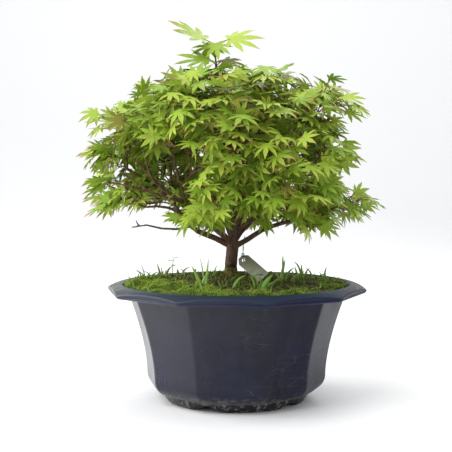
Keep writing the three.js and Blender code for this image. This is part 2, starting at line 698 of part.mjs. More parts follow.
// One piece of wire: a ring round the right low limb, a shank to a ring through the label's hole, and
// a loose end along the label's upper edge.
function wireSolid() {
  const limbAt = 0.14;
  const limb = limbCurves.right_low;
  const eye = limb.getPointAt(limbAt);
  const ringR = limbRadius("right_low", limbAt) * 1.08 + WIRE_R + GAP * 2;
  const ring = new THREE.TorusGeometry(ringR, WIRE_R, 4, 12);
  const toLimb = new THREE.Quaternion().setFromUnitVectors(point(0, 0, 1), limb.getTangentAt(limbAt));
  ring.applyQuaternion(toLimb);
  ring.translate(eye.x, eye.y, eye.z);

  const label = labelMatrix();
  const along = point(1, 0, 0).transformDirection(label);
  const upper = point(0, 1, 0).transformDirection(label);
  const face = point(0, 0, 1).transformDirection(label);
  const loopR = LABEL_HOLE_R + 3.2;
  const loopCentre = LABEL_HOLE.clone().addScaledVector(along, -loopR);
  const loop = new THREE.TorusGeometry(loopR, WIRE_R, 4, 12);
  loop.applyMatrix4(
    new THREE.Matrix4().makeBasis(along, face, along.clone().cross(face)).setPosition(loopCentre),
  );

  const ringFoot = lowestPoint(ring);
  const loopTop = loopCentre.clone().addScaledVector(along, -loopR);
  const bow = ringFoot.clone().lerp(loopTop, 0.5).add(point(0.6, -0.6, 0));
  const shank = curveThrough([ringFoot, bow, loopTop]);
  const shankTube = taperedTube(shank, roundTaper(WIRE_R * 1.5, WIRE_R * 1.5), 5, 2);
  const edge = LABEL_WIDTH / 2 + WIRE_R + GAP * 2;
  const besideLabel = (x) =>
    LABEL_HOLE.clone().addScaledVector(along, x).addScaledVector(upper, edge);
  const tail = curveThrough([ringFoot, besideLabel(-1), besideLabel(5), besideLabel(13)]);
  const tailTube = taperedTube(tail, roundTaper(WIRE_R, WIRE_R), 4, 4);
  return solidOf(ring).add(solidOf(loop)).add(solidOf(shankTube)).add(solidOf(tailTube));
}

function lowestPoint(geometry) {
  const places = geometry.attributes.position;
  let lowest = point(0, 0, Infinity);
  for (let i = 0; i < places.count; i++) {
    const here = new THREE.Vector3().fromBufferAttribute(places, i);
    if (here.z < lowest.z) lowest = here;
  }
  return lowest;
}

// ---- Materials and the group ----

const finish = (color, roughness) => new THREE.MeshStandardMaterial({ color, roughness, metalness: 0 });
const glaze = finish(0x2e3450, 0.3);
const earth = finish(0x3d3021, 0.95);
const mossGreen = finish(0x5f7d1e, 0.95);
const bark = finish(0x4c3a28, 0.85);
const leafGreen = finish(0x7c9a34, 0.55);
const grassGreen = finish(0x5d8a2a, 0.6);
const labelGrey = finish(0x8b9074, 0.5);
const wireMetal = new THREE.MeshStandardMaterial({ color: 0x55585a, roughness: 0.4, metalness: 0.8 });

const group = new THREE.Group();
function addPiece(parent, name, geometry, material) {
  const mesh = new THREE.Mesh(geometry, material);
  mesh.name = name;
  parent.add(mesh);
  return mesh;
}

addPiece(group, "pot", geometryOf(potSolid()), glaze);
addPiece(group, "soil", geometryOf(soilSolid([rootHoleSolid(), labelSlotSolid()])), earth);
for (const [name, cushion] of Object.entries(MOSS_CUSHIONS)) {
  addPiece(group, name, geometryOf(mossSolid(cushion)), mossGreen);
}

const tree = new THREE.Group();
tree.position.copy(TREE_BASE);
group.add(tree);
const wood = woodSolid();
addPiece(tree, "trunk_and_limbs", geometryOf(wood), bark);
for (const [name, spray] of Object.entries(growSprays(wood))) {
  addPiece(tree, name, geometryOf(spray), leafGreen);
}

for (const [name, tuft] of Object.entries(GRASS_TUFTS)) {
  addPiece(group, name, geometryOf(tuftSolid(tuft)), grassGreen);
}
for (const [name, seedling] of Object.entries(SEEDLINGS)) {
  addPiece(group, name, geometryOf(seedlingSolid(seedling)), grassGreen);
}

const label = addPiece(tree, "name_label", labelGeometry(), labelGrey);
label.applyMatrix4(labelMatrix().setPosition(LABEL_HOLE));
addPiece(tree, "label_wire", geometryOf(wireSolid()), wireMetal);

export default group;
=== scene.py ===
"""Finished look of a Japanese maple bonsai in a glazed pot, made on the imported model's frame."""

import math

import bpy
import numpy as np
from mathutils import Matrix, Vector


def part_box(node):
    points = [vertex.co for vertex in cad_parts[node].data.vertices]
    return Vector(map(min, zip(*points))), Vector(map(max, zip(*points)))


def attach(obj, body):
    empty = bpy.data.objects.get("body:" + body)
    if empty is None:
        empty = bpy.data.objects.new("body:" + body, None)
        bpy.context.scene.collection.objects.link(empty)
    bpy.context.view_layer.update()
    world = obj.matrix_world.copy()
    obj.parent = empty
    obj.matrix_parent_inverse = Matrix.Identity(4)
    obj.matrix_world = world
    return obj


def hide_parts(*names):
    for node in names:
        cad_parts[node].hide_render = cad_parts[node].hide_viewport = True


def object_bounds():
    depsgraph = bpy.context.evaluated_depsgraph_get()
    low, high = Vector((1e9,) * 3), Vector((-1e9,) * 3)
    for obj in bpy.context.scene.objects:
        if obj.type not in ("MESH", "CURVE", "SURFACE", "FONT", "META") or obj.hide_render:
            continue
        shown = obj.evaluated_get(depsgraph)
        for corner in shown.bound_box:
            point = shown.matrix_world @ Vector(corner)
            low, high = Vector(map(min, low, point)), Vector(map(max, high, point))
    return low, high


bl_info = {
    "name": "Maple Bonsai In Glazed Pot",
    "version": (1, 0, 0),
    "blender": (4, 5, 0),
    "location": "3D View > Sidebar > Bonsai",
    "description": "Builds the pot, ground, wood, leaves and weeds of a potted maple bonsai",
    "category": "Object",
}

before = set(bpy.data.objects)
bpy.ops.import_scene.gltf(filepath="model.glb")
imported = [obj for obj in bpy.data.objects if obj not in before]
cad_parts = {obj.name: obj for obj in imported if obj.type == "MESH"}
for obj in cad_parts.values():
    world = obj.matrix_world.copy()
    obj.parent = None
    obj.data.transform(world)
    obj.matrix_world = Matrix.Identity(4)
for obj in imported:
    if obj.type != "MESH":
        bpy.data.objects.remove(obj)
CAD_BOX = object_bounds()
MM = 0.001
SIDES = 10
PANEL = 2 * math.pi / SIDES
FIRST_CORNER = math.radians(-6)
WOOD_NODE = "trunk_and_limbs"


# ---------------------------------------------------------------- meshes


def mesh_points(mesh, field="co"):
    """A mesh's points, or their normals, as an array."""
    values = np.empty(len(mesh.vertices) * 3)
    mesh.vertices.foreach_get(field, values)
    return values.reshape(-1, 3)


def cad_points(node):
    """A CAD node's own points in millimetres."""
    return mesh_points(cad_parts[node].data) / MM


def paint_node(node, material):
    """Puts one material on every slot of a CAD node that stays in view."""
    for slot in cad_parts[node].material_slots:
        slot.material = material


def new_piece(name, points, faces, materials, index=None, smooth=True):
    """A mesh object from arrays of points and faces, riding on the root body.

    index gives each face its place in the list of materials.
    """
    mesh = bpy.data.meshes.new(name)
    mesh.from_pydata(np.asarray(points, float).tolist(), [], faces)
    for material in materials:
        mesh.materials.append(material)
    if index is not None:
        mesh.polygons.foreach_set("material_index", np.asarray(index, np.int32))
    mesh.polygons.foreach_set("use_smooth", np.full(len(mesh.polygons), smooth))
    mesh.update()
    piece = bpy.data.objects.new(name, mesh)
    bpy.context.scene.collection.objects.link(piece)
    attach(piece, "root")
    return piece


def point_colors(piece, name, values):
    """Stores four numbers at each point as a colour attribute."""
    data = piece.data.color_attributes.new(name, "FLOAT_COLOR", "POINT")
    data.data.foreach_set("color", np.asarray(values, np.float32).ravel())


def finish_with(piece, kind, **settings):
    """Adds a modifier with the same settings in view and in render, then applies it."""
    modifier = piece.modifiers.new(kind.title(), kind)
    for key, value in settings.items():
        setattr(modifier, key, value)
    graph = bpy.context.evaluated_depsgraph_get()
    made = bpy.data.meshes.new_from_object(piece.evaluated_get(graph))
    piece.modifiers.clear()
    piece.data = made


def grid_faces(rows, columns, closed=True, start=0):
    """Quads of a grid of points in row order; closed joins the last column to the first."""
    row, column = np.mgrid[0 : rows - 1, 0 : columns - (not closed)]
    a = row * columns + column
    b = row * columns + (column + 1) % columns
    return (np.stack([a, b, b + columns, a + columns], -1).reshape(-1, 4) + start).tolist()


def unit(v):
    """Vectors scaled to length one along the last axis."""
    return v / np.maximum(np.linalg.norm(v, axis=-1, keepdims=True), 1e-12)


def tubes(paths, radii, sides):
    """Many tubes at once: a ring of points stands square to each path at each of its points.

    paths is (tubes, steps, 3) and radii (tubes, steps). Each ring point is path + radius *
    (cos(a) u + sin(a) v), with u and v square to the path. Both ends close to a fan.
    """
    paths = np.asarray(paths, float)
    radii = np.asarray(radii, float)
    count, steps, _ = paths.shape
    along = unit(np.gradient(paths, axis=1))
    run = unit(paths[:, -1] - paths[:, 0])
    helper = np.where(np.abs(run[:, 2:3]) > 0.8, [[1.0, 0.0, 0.0]], [[0.0, 0.0, 1.0]])
    u = unit(np.cross(along, helper[:, None, :]))
    v = np.cross(along, u)
    turn = np.arange(sides) / sides * 2 * math.pi
    ring = (
        np.cos(turn)[None, None, :, None] * u[:, :, None, :]
        + np.sin(turn)[None, None, :, None] * v[:, :, None, :]
    )
    body = paths[:, :, None, :] + radii[:, :, None, None] * ring
    points = np.concatenate([body.reshape(count, -1, 3), paths[:, :1], paths[:, -1:]], 1)
    size = steps * sides + 2
    quads = np.array(grid_faces(steps, sides))
    c = np.arange(sides)
    nxt = (c + 1) % sides
    last = (steps - 1) * sides
    start_fan = np.stack([nxt, c, np.full(sides, size - 2)], 1)
    end_fan = np.stack([last + c, last + nxt, np.full(sides, size - 1)], 1)
    shift = (np.arange(count) * size)[:, None, None]
    faces = (quads[None] + shift).reshape(-1, 4).tolist()
    fans = np.concatenate([start_fan, end_fan])
    faces += (fans[None] + shift).reshape(-1, 3).tolist()
    return points.reshape(-1, 3), faces


def curve_through(points, steps):
    """A smooth path through a few points: each coordinate is a cubic spline of arc length."""
    points = np.asarray(points, float)
    span = np.r_[0, np.cumsum(np.linalg.norm(np.diff(points, axis=0), axis=1))]
    slope = np.gradient(points, span, axis=0)
    at = np.linspace(0, span[-1], steps)
    i = np.clip(np.searchsorted(span, at, "right") - 1, 0, len(points) - 2)
    h = (span[i + 1] - span[i])[:, None]
    t = ((at - span[i])[:, None]) / h
    return (
        (2 * t**3 - 3 * t**2 + 1) * points[i]
        + (t**3 - 2 * t**2 + t) * h * slope[i]
        + (-2 * t**3 + 3 * t**2) * points[i + 1]
        + (t**3 - t**2) * h * slope[i + 1]
    )


def ripple(points, scale, seed):
    """Smooth noise between -1 and 1: a sum of sine waves in seeded directions."""
    rng = np.random.default_rng(seed)
    waves = rng.normal(size=(12, 3)) / scale
    phases = rng.uniform(0, 2 * math.pi, 12)
    return np.sin(points @ waves.T + phases).sum(-1) / 12**0.5 / 1.6


# ---------------------------------------------------------------- shader nodes


def node_group(name, inputs, outputs):
    """An empty shader node group with named sockets."""
    group = bpy.data.node_groups.new(name, "ShaderNodeTree")
    for label, kind, value in inputs:
        socket = group.interface.new_socket(label, in_out="INPUT", socket_type=kind)
        socket.default_value = value
    for label, kind in outputs:
        group.interface.new_socket(label, in_out="OUTPUT", socket_type=kind)
    return group, group.nodes.new("NodeGroupInput"), group.nodes.new("NodeGroupOutput")


class Wiring:
    """Short calls that add nodes to a shader tree and link them."""

    def __init__(self, tree):
        self.tree = tree

    def add(self, kind, **settings):
        node = self.tree.nodes.new(kind)
        for key, value in settings.items():
            setattr(node, key, value)
        return node

    def put(self, socket, value):
        if isinstance(value, bpy.types.NodeSocket):
            self.tree.links.new(value, socket)
        else:
            socket.default_value = value

    def math(self, operation, a, b=0.0, clamp=False):
        node = self.add("ShaderNodeMath", operation=operation, use_clamp=clamp)
        self.put(node.inputs[0], a)
        self.put(node.inputs[1], b)
        return node.outputs[0]

    def mix(self, factor, a, b, blend="MIX"):
        node = self.add("ShaderNodeMix", data_type="RGBA", blend_type=blend)
        self.put(node.inputs[0], factor)
        self.put(node.inputs[6], a)
        self.put(node.inputs[7], b)
        return node.outputs[2]

    def tint(self, base, mask, amount, rgb):
        """The base colour turned towards rgb by the mask times the amount."""
        return self.mix(self.math("MULTIPLY", mask, amount), base, (*rgb, 1))

    def blend_value(self, factor, a, b):
        node = self.add("ShaderNodeMix", data_type="FLOAT")
        self.put(node.inputs[0], factor)
        self.put(node.inputs[2], a)
        self.put(node.inputs[3], b)
        return node.outputs[0]

    def ramp(self, value, low, high, from_low=0.0, from_high=1.0):
        node = self.add("ShaderNodeMapRange", interpolation_type="SMOOTHSTEP")
        self.put(node.inputs[0], value)
        self.put(node.inputs[1], low)
        self.put(node.inputs[2], high)
        self.put(node.inputs[3], from_low)
        self.put(node.inputs[4], from_high)
        return node.outputs[0]

    def noise(self, place, scale, detail=4.0, rough=0.55):
        node = self.add("ShaderNodeTexNoise")
        self.put(node.inputs["Vector"], place)
        self.put(node.inputs["Scale"], scale)
        self.put(node.inputs["Detail"], detail)
        self.put(node.inputs["Roughness"], rough)
        return node.outputs["Fac"]

    def cells(self, place, scale, feature="F1"):
        node = self.add("ShaderNodeTexVoronoi", feature=feature)
        self.put(node.inputs["Vector"], place)
        self.put(node.inputs["Scale"], scale)
        return node

    def stretch(self, place, x, y, z):
        node = self.add("ShaderNodeMapping")
        self.put(node.inputs["Vector"], place)
        node.inputs["Scale"].default_value = (x, y, z)
        return node.outputs[0]

    def place(self):
        return self.add("ShaderNodeTexCoord").outputs["Object"]

    def height(self, place):
        node = self.add("ShaderNodeSeparateXYZ")
        self.put(node.inputs[0], place)
        return node.outputs["Z"]

    def bump(self, height, strength, distance):
        node = self.add("ShaderNodeBump")
        node.inputs["Strength"].default_value = strength
        node.inputs["Distance"].default_value = distance
        self.put(node.inputs["Height"], height)
        return node.outputs[0]

    def channels(self, name):
        """Red, green, blue and alpha of a colour attribute."""
        data = self.add("ShaderNodeAttribute", attribute_name=name)
        parts = self.add("ShaderNodeSeparateColor")
        self.put(parts.inputs[0], data.outputs["Color"])
        return (*parts.outputs, data.outputs["Alpha"])

    def set(self, node, **values):
        """Sets or links the named inputs of a node."""
        for key, value in values.items():
            self.put(node.inputs[key.replace("_", " ")], value)

    def finish(self, shader, base, rough, relief, strength, distance):
        """Gives the shader its colour, its roughness and bumps from the relief."""
        normal = self.bump(relief, strength, distance)
        self.set(shader, Base_Color=base, Roughness=rough, Normal=normal)

    def group(self, group, **values):
        node = self.add("ShaderNodeGroup")
        node.node_tree = group
        self.set(node, **values)
        return node


def new_material(name, roughness=0.6, **shader_values):
    """A Principled material and the wiring of its tree."""
    material = bpy.data.materials.new(name)
    material.use_nodes = True
    shader = material.node_tree.nodes["Principled BSDF"]
    shader.inputs["Roughness"].default_value = roughness
    for key, value in shader_values.items():
        shader.inputs[key.replace("_", " ")].default_value = value
    return material, Wiring(material.node_tree), shader


def color(prop):
    """A property's colour with full alpha."""
    return (*prop, 1.0)


def length_setting(name, description, default, precision=4):
    """A property that holds a length."""
    return bpy.props.FloatProperty(
        name=name, description=description, default=default, unit="LENGTH", precision=precision
    )


def color_setting(name, description, default):
    """A property that holds a colour."""
    return bpy.props.FloatVectorProperty(
        name=name, description=description, default=default, subtype="COLOR", size=3, min=0, max=1
    )


def dust_group():
    """Dust: a mask of soft patches, scaled by the amount, and a second mask of fine specks."""
    group, given, out = node_group(
        "Settled Dust",
        [
            ("Place", "NodeSocketVector", (0, 0, 0)),
            ("Patch Scale", "NodeSocketFloat", 18.0),
            ("Speck Scale", "NodeSocketFloat", 900.0),
            ("Amount", "NodeSocketFloat", 0.5),
        ],
        [("Mask", "NodeSocketFloat"), ("Speck", "NodeSocketFloat")],
    )
    w = Wiring(group)
    place = given.outputs["Place"]
    patches = w.noise(place, given.outputs["Patch Scale"], 6.0, 0.6)
    fine = w.noise(place, given.outputs["Speck Scale"], 2.0)
    soft = w.ramp(patches, 0.34, 0.72)
    mask = w.math("MULTIPLY", soft, given.outputs["Amount"], True)
    w.put(out.inputs["Mask"], mask)
    w.put(out.inputs["Speck"], w.ramp(fine, 0.62, 0.72))
    return group


def mottle_group():
    """Mottle: two sizes of noise that mix three colours, and a height for bumps."""
    group, given, out = node_group(
        "Earthy Mottle",
        [
            ("Place", "NodeSocketVector", (0, 0, 0)),
            ("Scale", "NodeSocketFloat", 60.0),
            ("Fine Scale", "NodeSocketFloat", 500.0),
            ("Dark", "NodeSocketColor", (0, 0, 0, 1)),
            ("Middle", "NodeSocketColor", (0.2, 0.2, 0.2, 1)),
            ("Light", "NodeSocketColor", (0.6, 0.6, 0.6, 1)),
        ],
        [("Color", "NodeSocketColor"), ("Height", "NodeSocketFloat")],
    )
    w = Wiring(group)
    place = given.outputs["Place"]
    broad = w.noise(place, given.outputs["Scale"], 5.0, 0.6)
    fine = w.noise(place, given.outputs["Fine Scale"], 4.0, 0.65)
    base = w.mix(w.ramp(broad, 0.36, 0.6), given.outputs["Dark"], given.outputs["Middle"])
    lit = w.mix(w.ramp(fine, 0.52, 0.68), base, given.outputs["Light"])
    w.put(out.inputs["Color"], lit)
    w.put(out.inputs["Height"], w.math("MULTIPLY_ADD", fine, 0.6))
    return group


# ---------------------------------------------------------------- pot


class PotSettings(bpy.types.PropertyGroup):
    lip_corner: length_setting("Lip Corner", "From the axis to a corner of the lip", 157 * MM)
    lip_inner: length_setting(
        "Lip Inside", "From the axis to the lip's round inner edge", 136 * MM
    )
    glaze: color_setting("Glaze", "Colour of the clean glaze", (0.007, 0.008, 0.024))
    dust: color_setting("Dust", "Colour of the film of dust", (0.034, 0.036, 0.036))


def sided_distance(angle, soft):
    """How far out a ten-sided outline of apothem one lies at each angle, with softened corners.

    The distance to every side's line is one over the cosine of the angle from its middle, and
    the outline is the soft minimum of the two nearest, with the given sharpness.
    """
    middle = np.mod(angle - FIRST_CORNER, PANEL) - PANEL / 2
    near = 1 / np.cos(middle)
    other = 1 / np.cos(PANEL - np.abs(middle))
    return -np.log(np.exp(-soft * near) + np.exp(-soft * other)) / soft


# The pot in millimetres: radius and height where the foot ends, at the belly and under the lip,
# then the lip's width and droop, and the arches that are cut in the foot.
FOOT_R, FOOT_Z = 87.0, 11.0
BELLY_R, BELLY_Z = 108.5, 30.0
NECK_R, NECK_Z = 133.0, 129.5
BELLY_CURVE = 1.63
LIP_WIDTH, LIP_Z, LIP_DROOP = 21.0, 140.5, 0.0165
ARCH_R, ARCH_HALF, ARCH_RISE = 80.0, 16.5, 6.0


def pot_profile():
    """The pot's section from the middle of its underside, out, up, over the lip and down inside.

    Each row is corner radius, height, flatness of the panels, share of the lip's droop and share
    of the foot's arches, in millimetres. Rows are joined by straight runs, and the pot is shaded
    smooth.
    """
    rows = [
        (4, 9, 0, 0, 0), (68, 9, 0, 0, 0), (70.5, 8.6, 0, 0, 0.1), (71, 7.5, 0, 0, 0.3),
        (71, 1, 0, 0, 1), (71.8, 0.1, 0, 0, 1), (72.5, 0, 0, 0, 1), (79, 0, 0, 0, 1),
        (81.5, 0.2, 0, 0, 1), (83.3, 1.2, 0, 0, 1), (85.5, 4.5, 0, 0, 0.85),
        (86.6, 8, 0, 0, 0.4), (87, 10.6, 0, 0, 0.1), (87.6, 11.4, 0.02, 0, 0),
    ]
    for step in range(1, 10):
        turn = step / 9 * math.pi / 2
        out = math.sin(turn)
        z = BELLY_Z - (BELLY_Z - FOOT_Z) * math.cos(turn)
        rows.append((FOOT_R + (BELLY_R - FOOT_R) * out, z, min(1, out * 1.12), 0, 0))
    for z in np.linspace(36, 126, 16):
        rise = (z - BELLY_Z) / (NECK_Z - BELLY_Z)
        rows.append((BELLY_R + (NECK_R - BELLY_R) * rise**BELLY_CURVE, z, 1, 0, 0))
    rows += [
        (133.2, 127.4, 1, 0, 0), (136.5, 127.9, 1, 0, 0), (137.2, 128.6, 1, 0, 0),
        (152, 128.9, 1, 0, 0), (154.6, 129.2, 1, 0, 0), (156.2, 130.1, 1, 0, 0),
        (156.9, 131.4, 1, 0, 0), (156.9, 132.3, 1, 0.1, 0), (156.3, 132.9, 1, 0.25, 0),
        (156.3, 133.5, 1, 0.3, 0), (157, 134.2, 1, 0.4, 0), (157, 139.0, 1, 1, 0),
        (157, 139.5, 1, 1, 0), (156.9, 140.0, 1, 1, 0), (156.5, 140.4, 1, 1, 0),
        (156, 140.5, 1, 1, 0), (155.4, 140.5, 1, 1, 0), (152, 140.5, 0.98, 1, 0),
        (148, 140.5, 0.85, 1, 0), (143, 140.5, 0.5, 1, 0), (139.5, 140.5, 0.15, 1, 0),
        (137.4, 140.4, 0, 1, 0), (136.3, 139.8, 0, 1, 0), (135.8, 138.6, 0, 0.5, 0),
        (134, 134, 0.2, 0, 0), (127.5, 125, 0.9, 0, 0), (124, 118, 1, 0, 0),
    ]
    return np.array(rows, float)


def pot_surface(settings):
    """The pot as radius and height over angle and profile share.

    Radius is the row's corner radius times a mix of the circle and the softened ten-sided
    outline. Height is the row's, less the droop, which grows with the square of the distance
    outward from the lip's inside, and in the foot it is pressed up over five ogee arches.
    """
    rows = pot_profile()
    fine = []
    for a, b in zip(rows[:-1], rows[1:]):
        steps = max(1, int(np.hypot(*(b - a)[:2]) / 2.6))
        fine.append(a + (b - a) * (np.arange(steps) / steps)[:, None])
    rows = np.concatenate([*fine, rows[-1:]])
    columns = 400
    angle = FIRST_CORNER + (np.arange(columns) + 0.5) / columns * 2 * math.pi
    outline = sided_distance(angle, 260.0) * math.cos(PANEL / 2)
    corner, height, flat, droop, arch = (rows[:, k : k + 1] for k in range(5))
    r = corner * (1 + flat * (outline - 1))
    inner = settings.lip_inner / MM
    wide = settings.lip_corner / MM - inner
    r = np.where(corner > inner, inner + (r - inner) * wide / LIP_WIDTH, r)
    z = height - droop * LIP_DROOP * np.clip(r - inner, 0, None) ** 2
    from_arch = np.mod(angle - FIRST_CORNER, 2 * PANEL) - PANEL
    across = np.clip(np.abs(from_arch) * ARCH_R / ARCH_HALF, 0, 1)
    rise = ARCH_RISE * (0.5 + 0.5 * np.cos(across * math.pi))
    z = z + arch * rise * np.clip(1 - z / FOOT_Z, 0, 1)
    place = np.stack([r * np.cos(angle), r * np.sin(angle), z], -1)
    wobble = ripple(place, 45.0, 3)[..., None] * 0.25 * (flat[..., None] > 0.5)
    place = place * (1 + wobble * [0.006, 0.006, 0])
    every = np.ones_like(r)
    crisp = LIP_Z - 0.9
    top = np.clip((height - crisp) / 0.7, 0, 1) * (corner > inner + 0.5) * every
    face = ((corner > 154) & (height < crisp)) * every
    collar = ((corner > NECK_R - 0.5) & (corner < 154) & (height < 129)) * every
    skin = np.stack([top, face, collar, every], -1)
    return place * MM, skin, len(rows), columns


def glaze_material(settings, dust):
    """Deep blue glaze with a dusty film, thin scratches, run marks, a chalky foot and painted
    sheen.

    The skin attribute tells the lip's top (red), its face (green) and the collar under it (blue).
    """
    material, w, shader = new_material(
        "Blue Pot Glaze", Coat_Weight=0.3, Coat_Roughness=0.2, Specular_IOR_Level=0.22
    )
    place = w.place()
    axes = w.add("ShaderNodeSeparateXYZ")
    w.put(axes.inputs[0], place)
    height = axes.outputs["Z"]
    top, face, collar, _ = w.channels("skin")
    film = w.group(dust, Place=place, Patch_Scale=14.0, Speck_Scale=700.0, Amount=0.8)
    runs = w.noise(w.stretch(place, 1, 1, 0.08), 90.0, 5.0, 0.65)
    clouds = w.noise(place, 34.0, 6.0, 0.62)
    deep = w.mix(w.ramp(clouds, 0.35, 0.7), color(settings.glaze), (0.013, 0.014, 0.040, 1))
    streaks = w.math("MULTIPLY", w.ramp(runs, 0.5, 0.72), 0.30)
    upper = w.ramp(height, 0.05, 0.12, 0.0, 0.25)
    dusty = w.math("ADD", w.math("MULTIPLY", film.outputs["Mask"], 0.42), streaks)
    dusty = w.math("ADD", dusty, upper, True)
    base = w.mix(dusty, deep, color(settings.dust))
    base = w.tint(base, film.outputs["Speck"], 0.14, (0.16, 0.16, 0.15))
    scratch = w.cells(w.stretch(place, 1, 1, 4.5), 26.0, "DISTANCE_TO_EDGE")
    thin = w.ramp(scratch.outputs["Distance"], 0.0, 0.010, 1.0, 0.0)
    worn = w.math("MULTIPLY", thin, w.ramp(w.noise(place, 9.0), 0.52, 0.66))
    base = w.tint(base, worn, 0.6, (0.16, 0.16, 0.14))
    foot = w.ramp(height, 0.006, 0.024, 1.0, 0.0)
    crust = w.ramp(w.noise(place, 150.0, 7.0, 0.78), 0.50, 0.58)
    joint = w.ramp(w.math("ABSOLUTE", w.math("SUBTRACT", height, 0.0115)), 0.0004, 0.0018, 0.9, 0.0)
    chalk = w.math("MULTIPLY", foot, w.math("MAXIMUM", crust, joint), True)
    base = w.tint(base, foot, 0.6, (0.020, 0.020, 0.022))
    base = w.tint(base, chalk, 0.65, (0.30, 0.28, 0.24))
    base = w.tint(base, face, 0.75, (0.014, 0.018, 0.052))
    # The lip's top is a lighter blue than the rest of the glaze, a painted highlight where the top
    # catches the light; it turns greyer in patches towards the pot's sides and back, with beige
    # crumbs there.
    wide = w.math("ABSOLUTE", axes.outputs["X"])
    back = w.math("MULTIPLY", axes.outputs["Y"], 0.8)
    sides_and_back = w.ramp(w.math("ADD", wide, back), 0.02, 0.13)
    patchy = w.ramp(w.noise(place, 60.0, 6.0, 0.65), 0.30, 0.62, 0.25, 1.0)
    cover = w.math("MULTIPLY", sides_and_back, patchy)
    rim = w.mix(cover, (0.022, 0.038, 0.064, 1), (0.13, 0.138, 0.125, 1))
    crumbly = w.math("MULTIPLY", sides_and_back, w.ramp(w.noise(place, 110.0, 7.0, 0.72), 0.50, 0.60))
    rim = w.tint(rim, crumbly, 0.6, (0.30, 0.285, 0.235))
    base = w.mix(w.math("MULTIPLY", top, 0.85), base, rim)
    line = w.math("MULTIPLY", collar, w.ramp(w.noise(place, 45.0, 4.0), 0.35, 0.6))
    base = w.tint(base, line, 0.6, (0.15, 0.15, 0.14))
    rough = w.blend_value(dusty, 0.26, 0.55)
    rough = w.blend_value(w.math("MAXIMUM", chalk, w.math("MULTIPLY", top, 0.4)), rough, 0.9)
    # Painted sheen: the coat and the specular level are strong on the left of the pot and weak on
    # its right, so the glaze looks glossier on its left side, as if lit from there.
    across = axes.outputs["X"]
    painted_side_sheen = w.ramp(across, -0.10, 0.07, 0.30, 0.05)
    painted_side_sheen = w.math("MULTIPLY", painted_side_sheen, w.math("SUBTRACT", 1.0, foot))
    w.set(
        shader, Coat_Weight=w.math("MULTIPLY", painted_side_sheen, w.ramp(dusty, 0.0, 0.6, 1.0, 0.5)),
        Specular_IOR_Level=w.ramp(across, -0.10, 0.08, 0.30, 0.08),
    )
    skin = w.math("MULTIPLY_ADD", w.noise(place, 160.0, 3.0), 0.5)
    relief = w.math("ADD", skin, w.math("MULTIPLY", chalk, w.noise(place, 500.0, 4.0)))
    w.finish(shader, base, rough, relief, 0.25, 0.0006)
    return material


class BONSAI_OT_pot(bpy.types.Operator):
    """Glazed ten-sided pot with a drooping lip and an arched foot ring"""

    bl_idname = "bonsai.pot"
    bl_label = "Glazed Pot"

    def execute(self, context):
        settings = context.scene.bonsai_pot
        place, skin, rows, columns = pot_surface(settings)
        faces = grid_faces(rows, columns)
        points = place.reshape(-1, 3)
        middles = np.array([[0, 0, place[0, 0, 2]], [0, 0, place[-1, 0, 2]]])
        first, last = len(points), len(points) + 1
        c = np.arange(columns)
        nxt = (c + 1) % columns
        base = (rows - 1) * columns
        faces += np.stack([nxt, c, np.full(columns, first)], 1).tolist()
        faces += np.stack([base + c, base + nxt, np.full(columns, last)], 1).tolist()
        pot = new_piece(
            "glazed_pot", np.concatenate([points, middles]), faces,
            [glaze_material(settings, bpy.data.node_groups["Settled Dust"])],
        )
        ends = np.array([[0, 0, 0, 1.0], [0, 0, 0, 1.0]])
        point_colors(pot, "skin", np.concatenate([skin.reshape(-1, 4), ends]))
        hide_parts("pot")
        return {"FINISHED"}


# ---------------------------------------------------------------- ground


class GroundSettings(bpy.types.PropertyGroup):
    soil: color_setting("Soil", "Colour of the damp soil", (0.060, 0.046, 0.020))
    moss: color_setting("Moss", "Colour of the moss in the sun", (0.21, 0.34, 0.018))
    moss_count: bpy.props.IntProperty(
        name="Moss Shoots", description="How many moss shoots cover the ground",
        default=26000, min=0,
    )
    crumb_count: bpy.props.IntProperty(
        name="Soil Crumbs", description="How many loose crumbs lie on the soil",
        default=2600, min=0,
    )


# The ground's edge, and the trunk's middle and radius where it enters the ground.
SOIL_EDGE = 136.5
SOIL_R = 133.4
TRUNK_X, TRUNK_R = -5.0, 9.5
# The pot's inside wall: half width of the sides low down, radius at the top, and both heights.
WALL_LOW_R, WALL_LOW_Z, WALL_TOP_R = 118, 122, 136


def soil_height(x, y):
    """Height of the ground: a dome, one less the distance share to the power 2.2, with lumps."""
    share = np.clip(np.hypot(x, y) / SOIL_R, 0, 1)
    dome = SOIL_EDGE + 9.5 * (1 - share**2.2)
    return dome + 0.9 * np.sin(x / 17 + 0.8) * np.cos(y / 14) * (1 - share)


def moss_share(x, y):
    """How mossy the ground is, from 0 to 1: most near the rim and on the front left.

    It is bare round the trunk and thin at the middle of the front, with ragged patches.
    """
    share = np.hypot(x, y) / SOIL_R
    flat = np.stack([x, y, np.zeros_like(x)], -1)
    patchy = ripple(flat, 16.0, 11) * 0.42 + ripple(flat, 6.0, 12) * 0.26
    left = np.clip(-x / 110, -0.4, 1) * 0.42
    front = np.clip(-y / 110, 0, 1) * (0.16 + 0.22 * np.clip(-x / 60, 0, 1))
    bare = 0.8 * np.exp(-(((x - 8) / 62) ** 2 + ((y + 22) / 50) ** 2))
    thin = 0.42 * np.exp(-(((x - 18) / 58) ** 2)) * np.clip(-y / 100, 0, 1)
    level = (share - 0.66) * 1.9 + left + front + patchy - bare - thin
    return np.clip(level * 2.0, 0, 1)


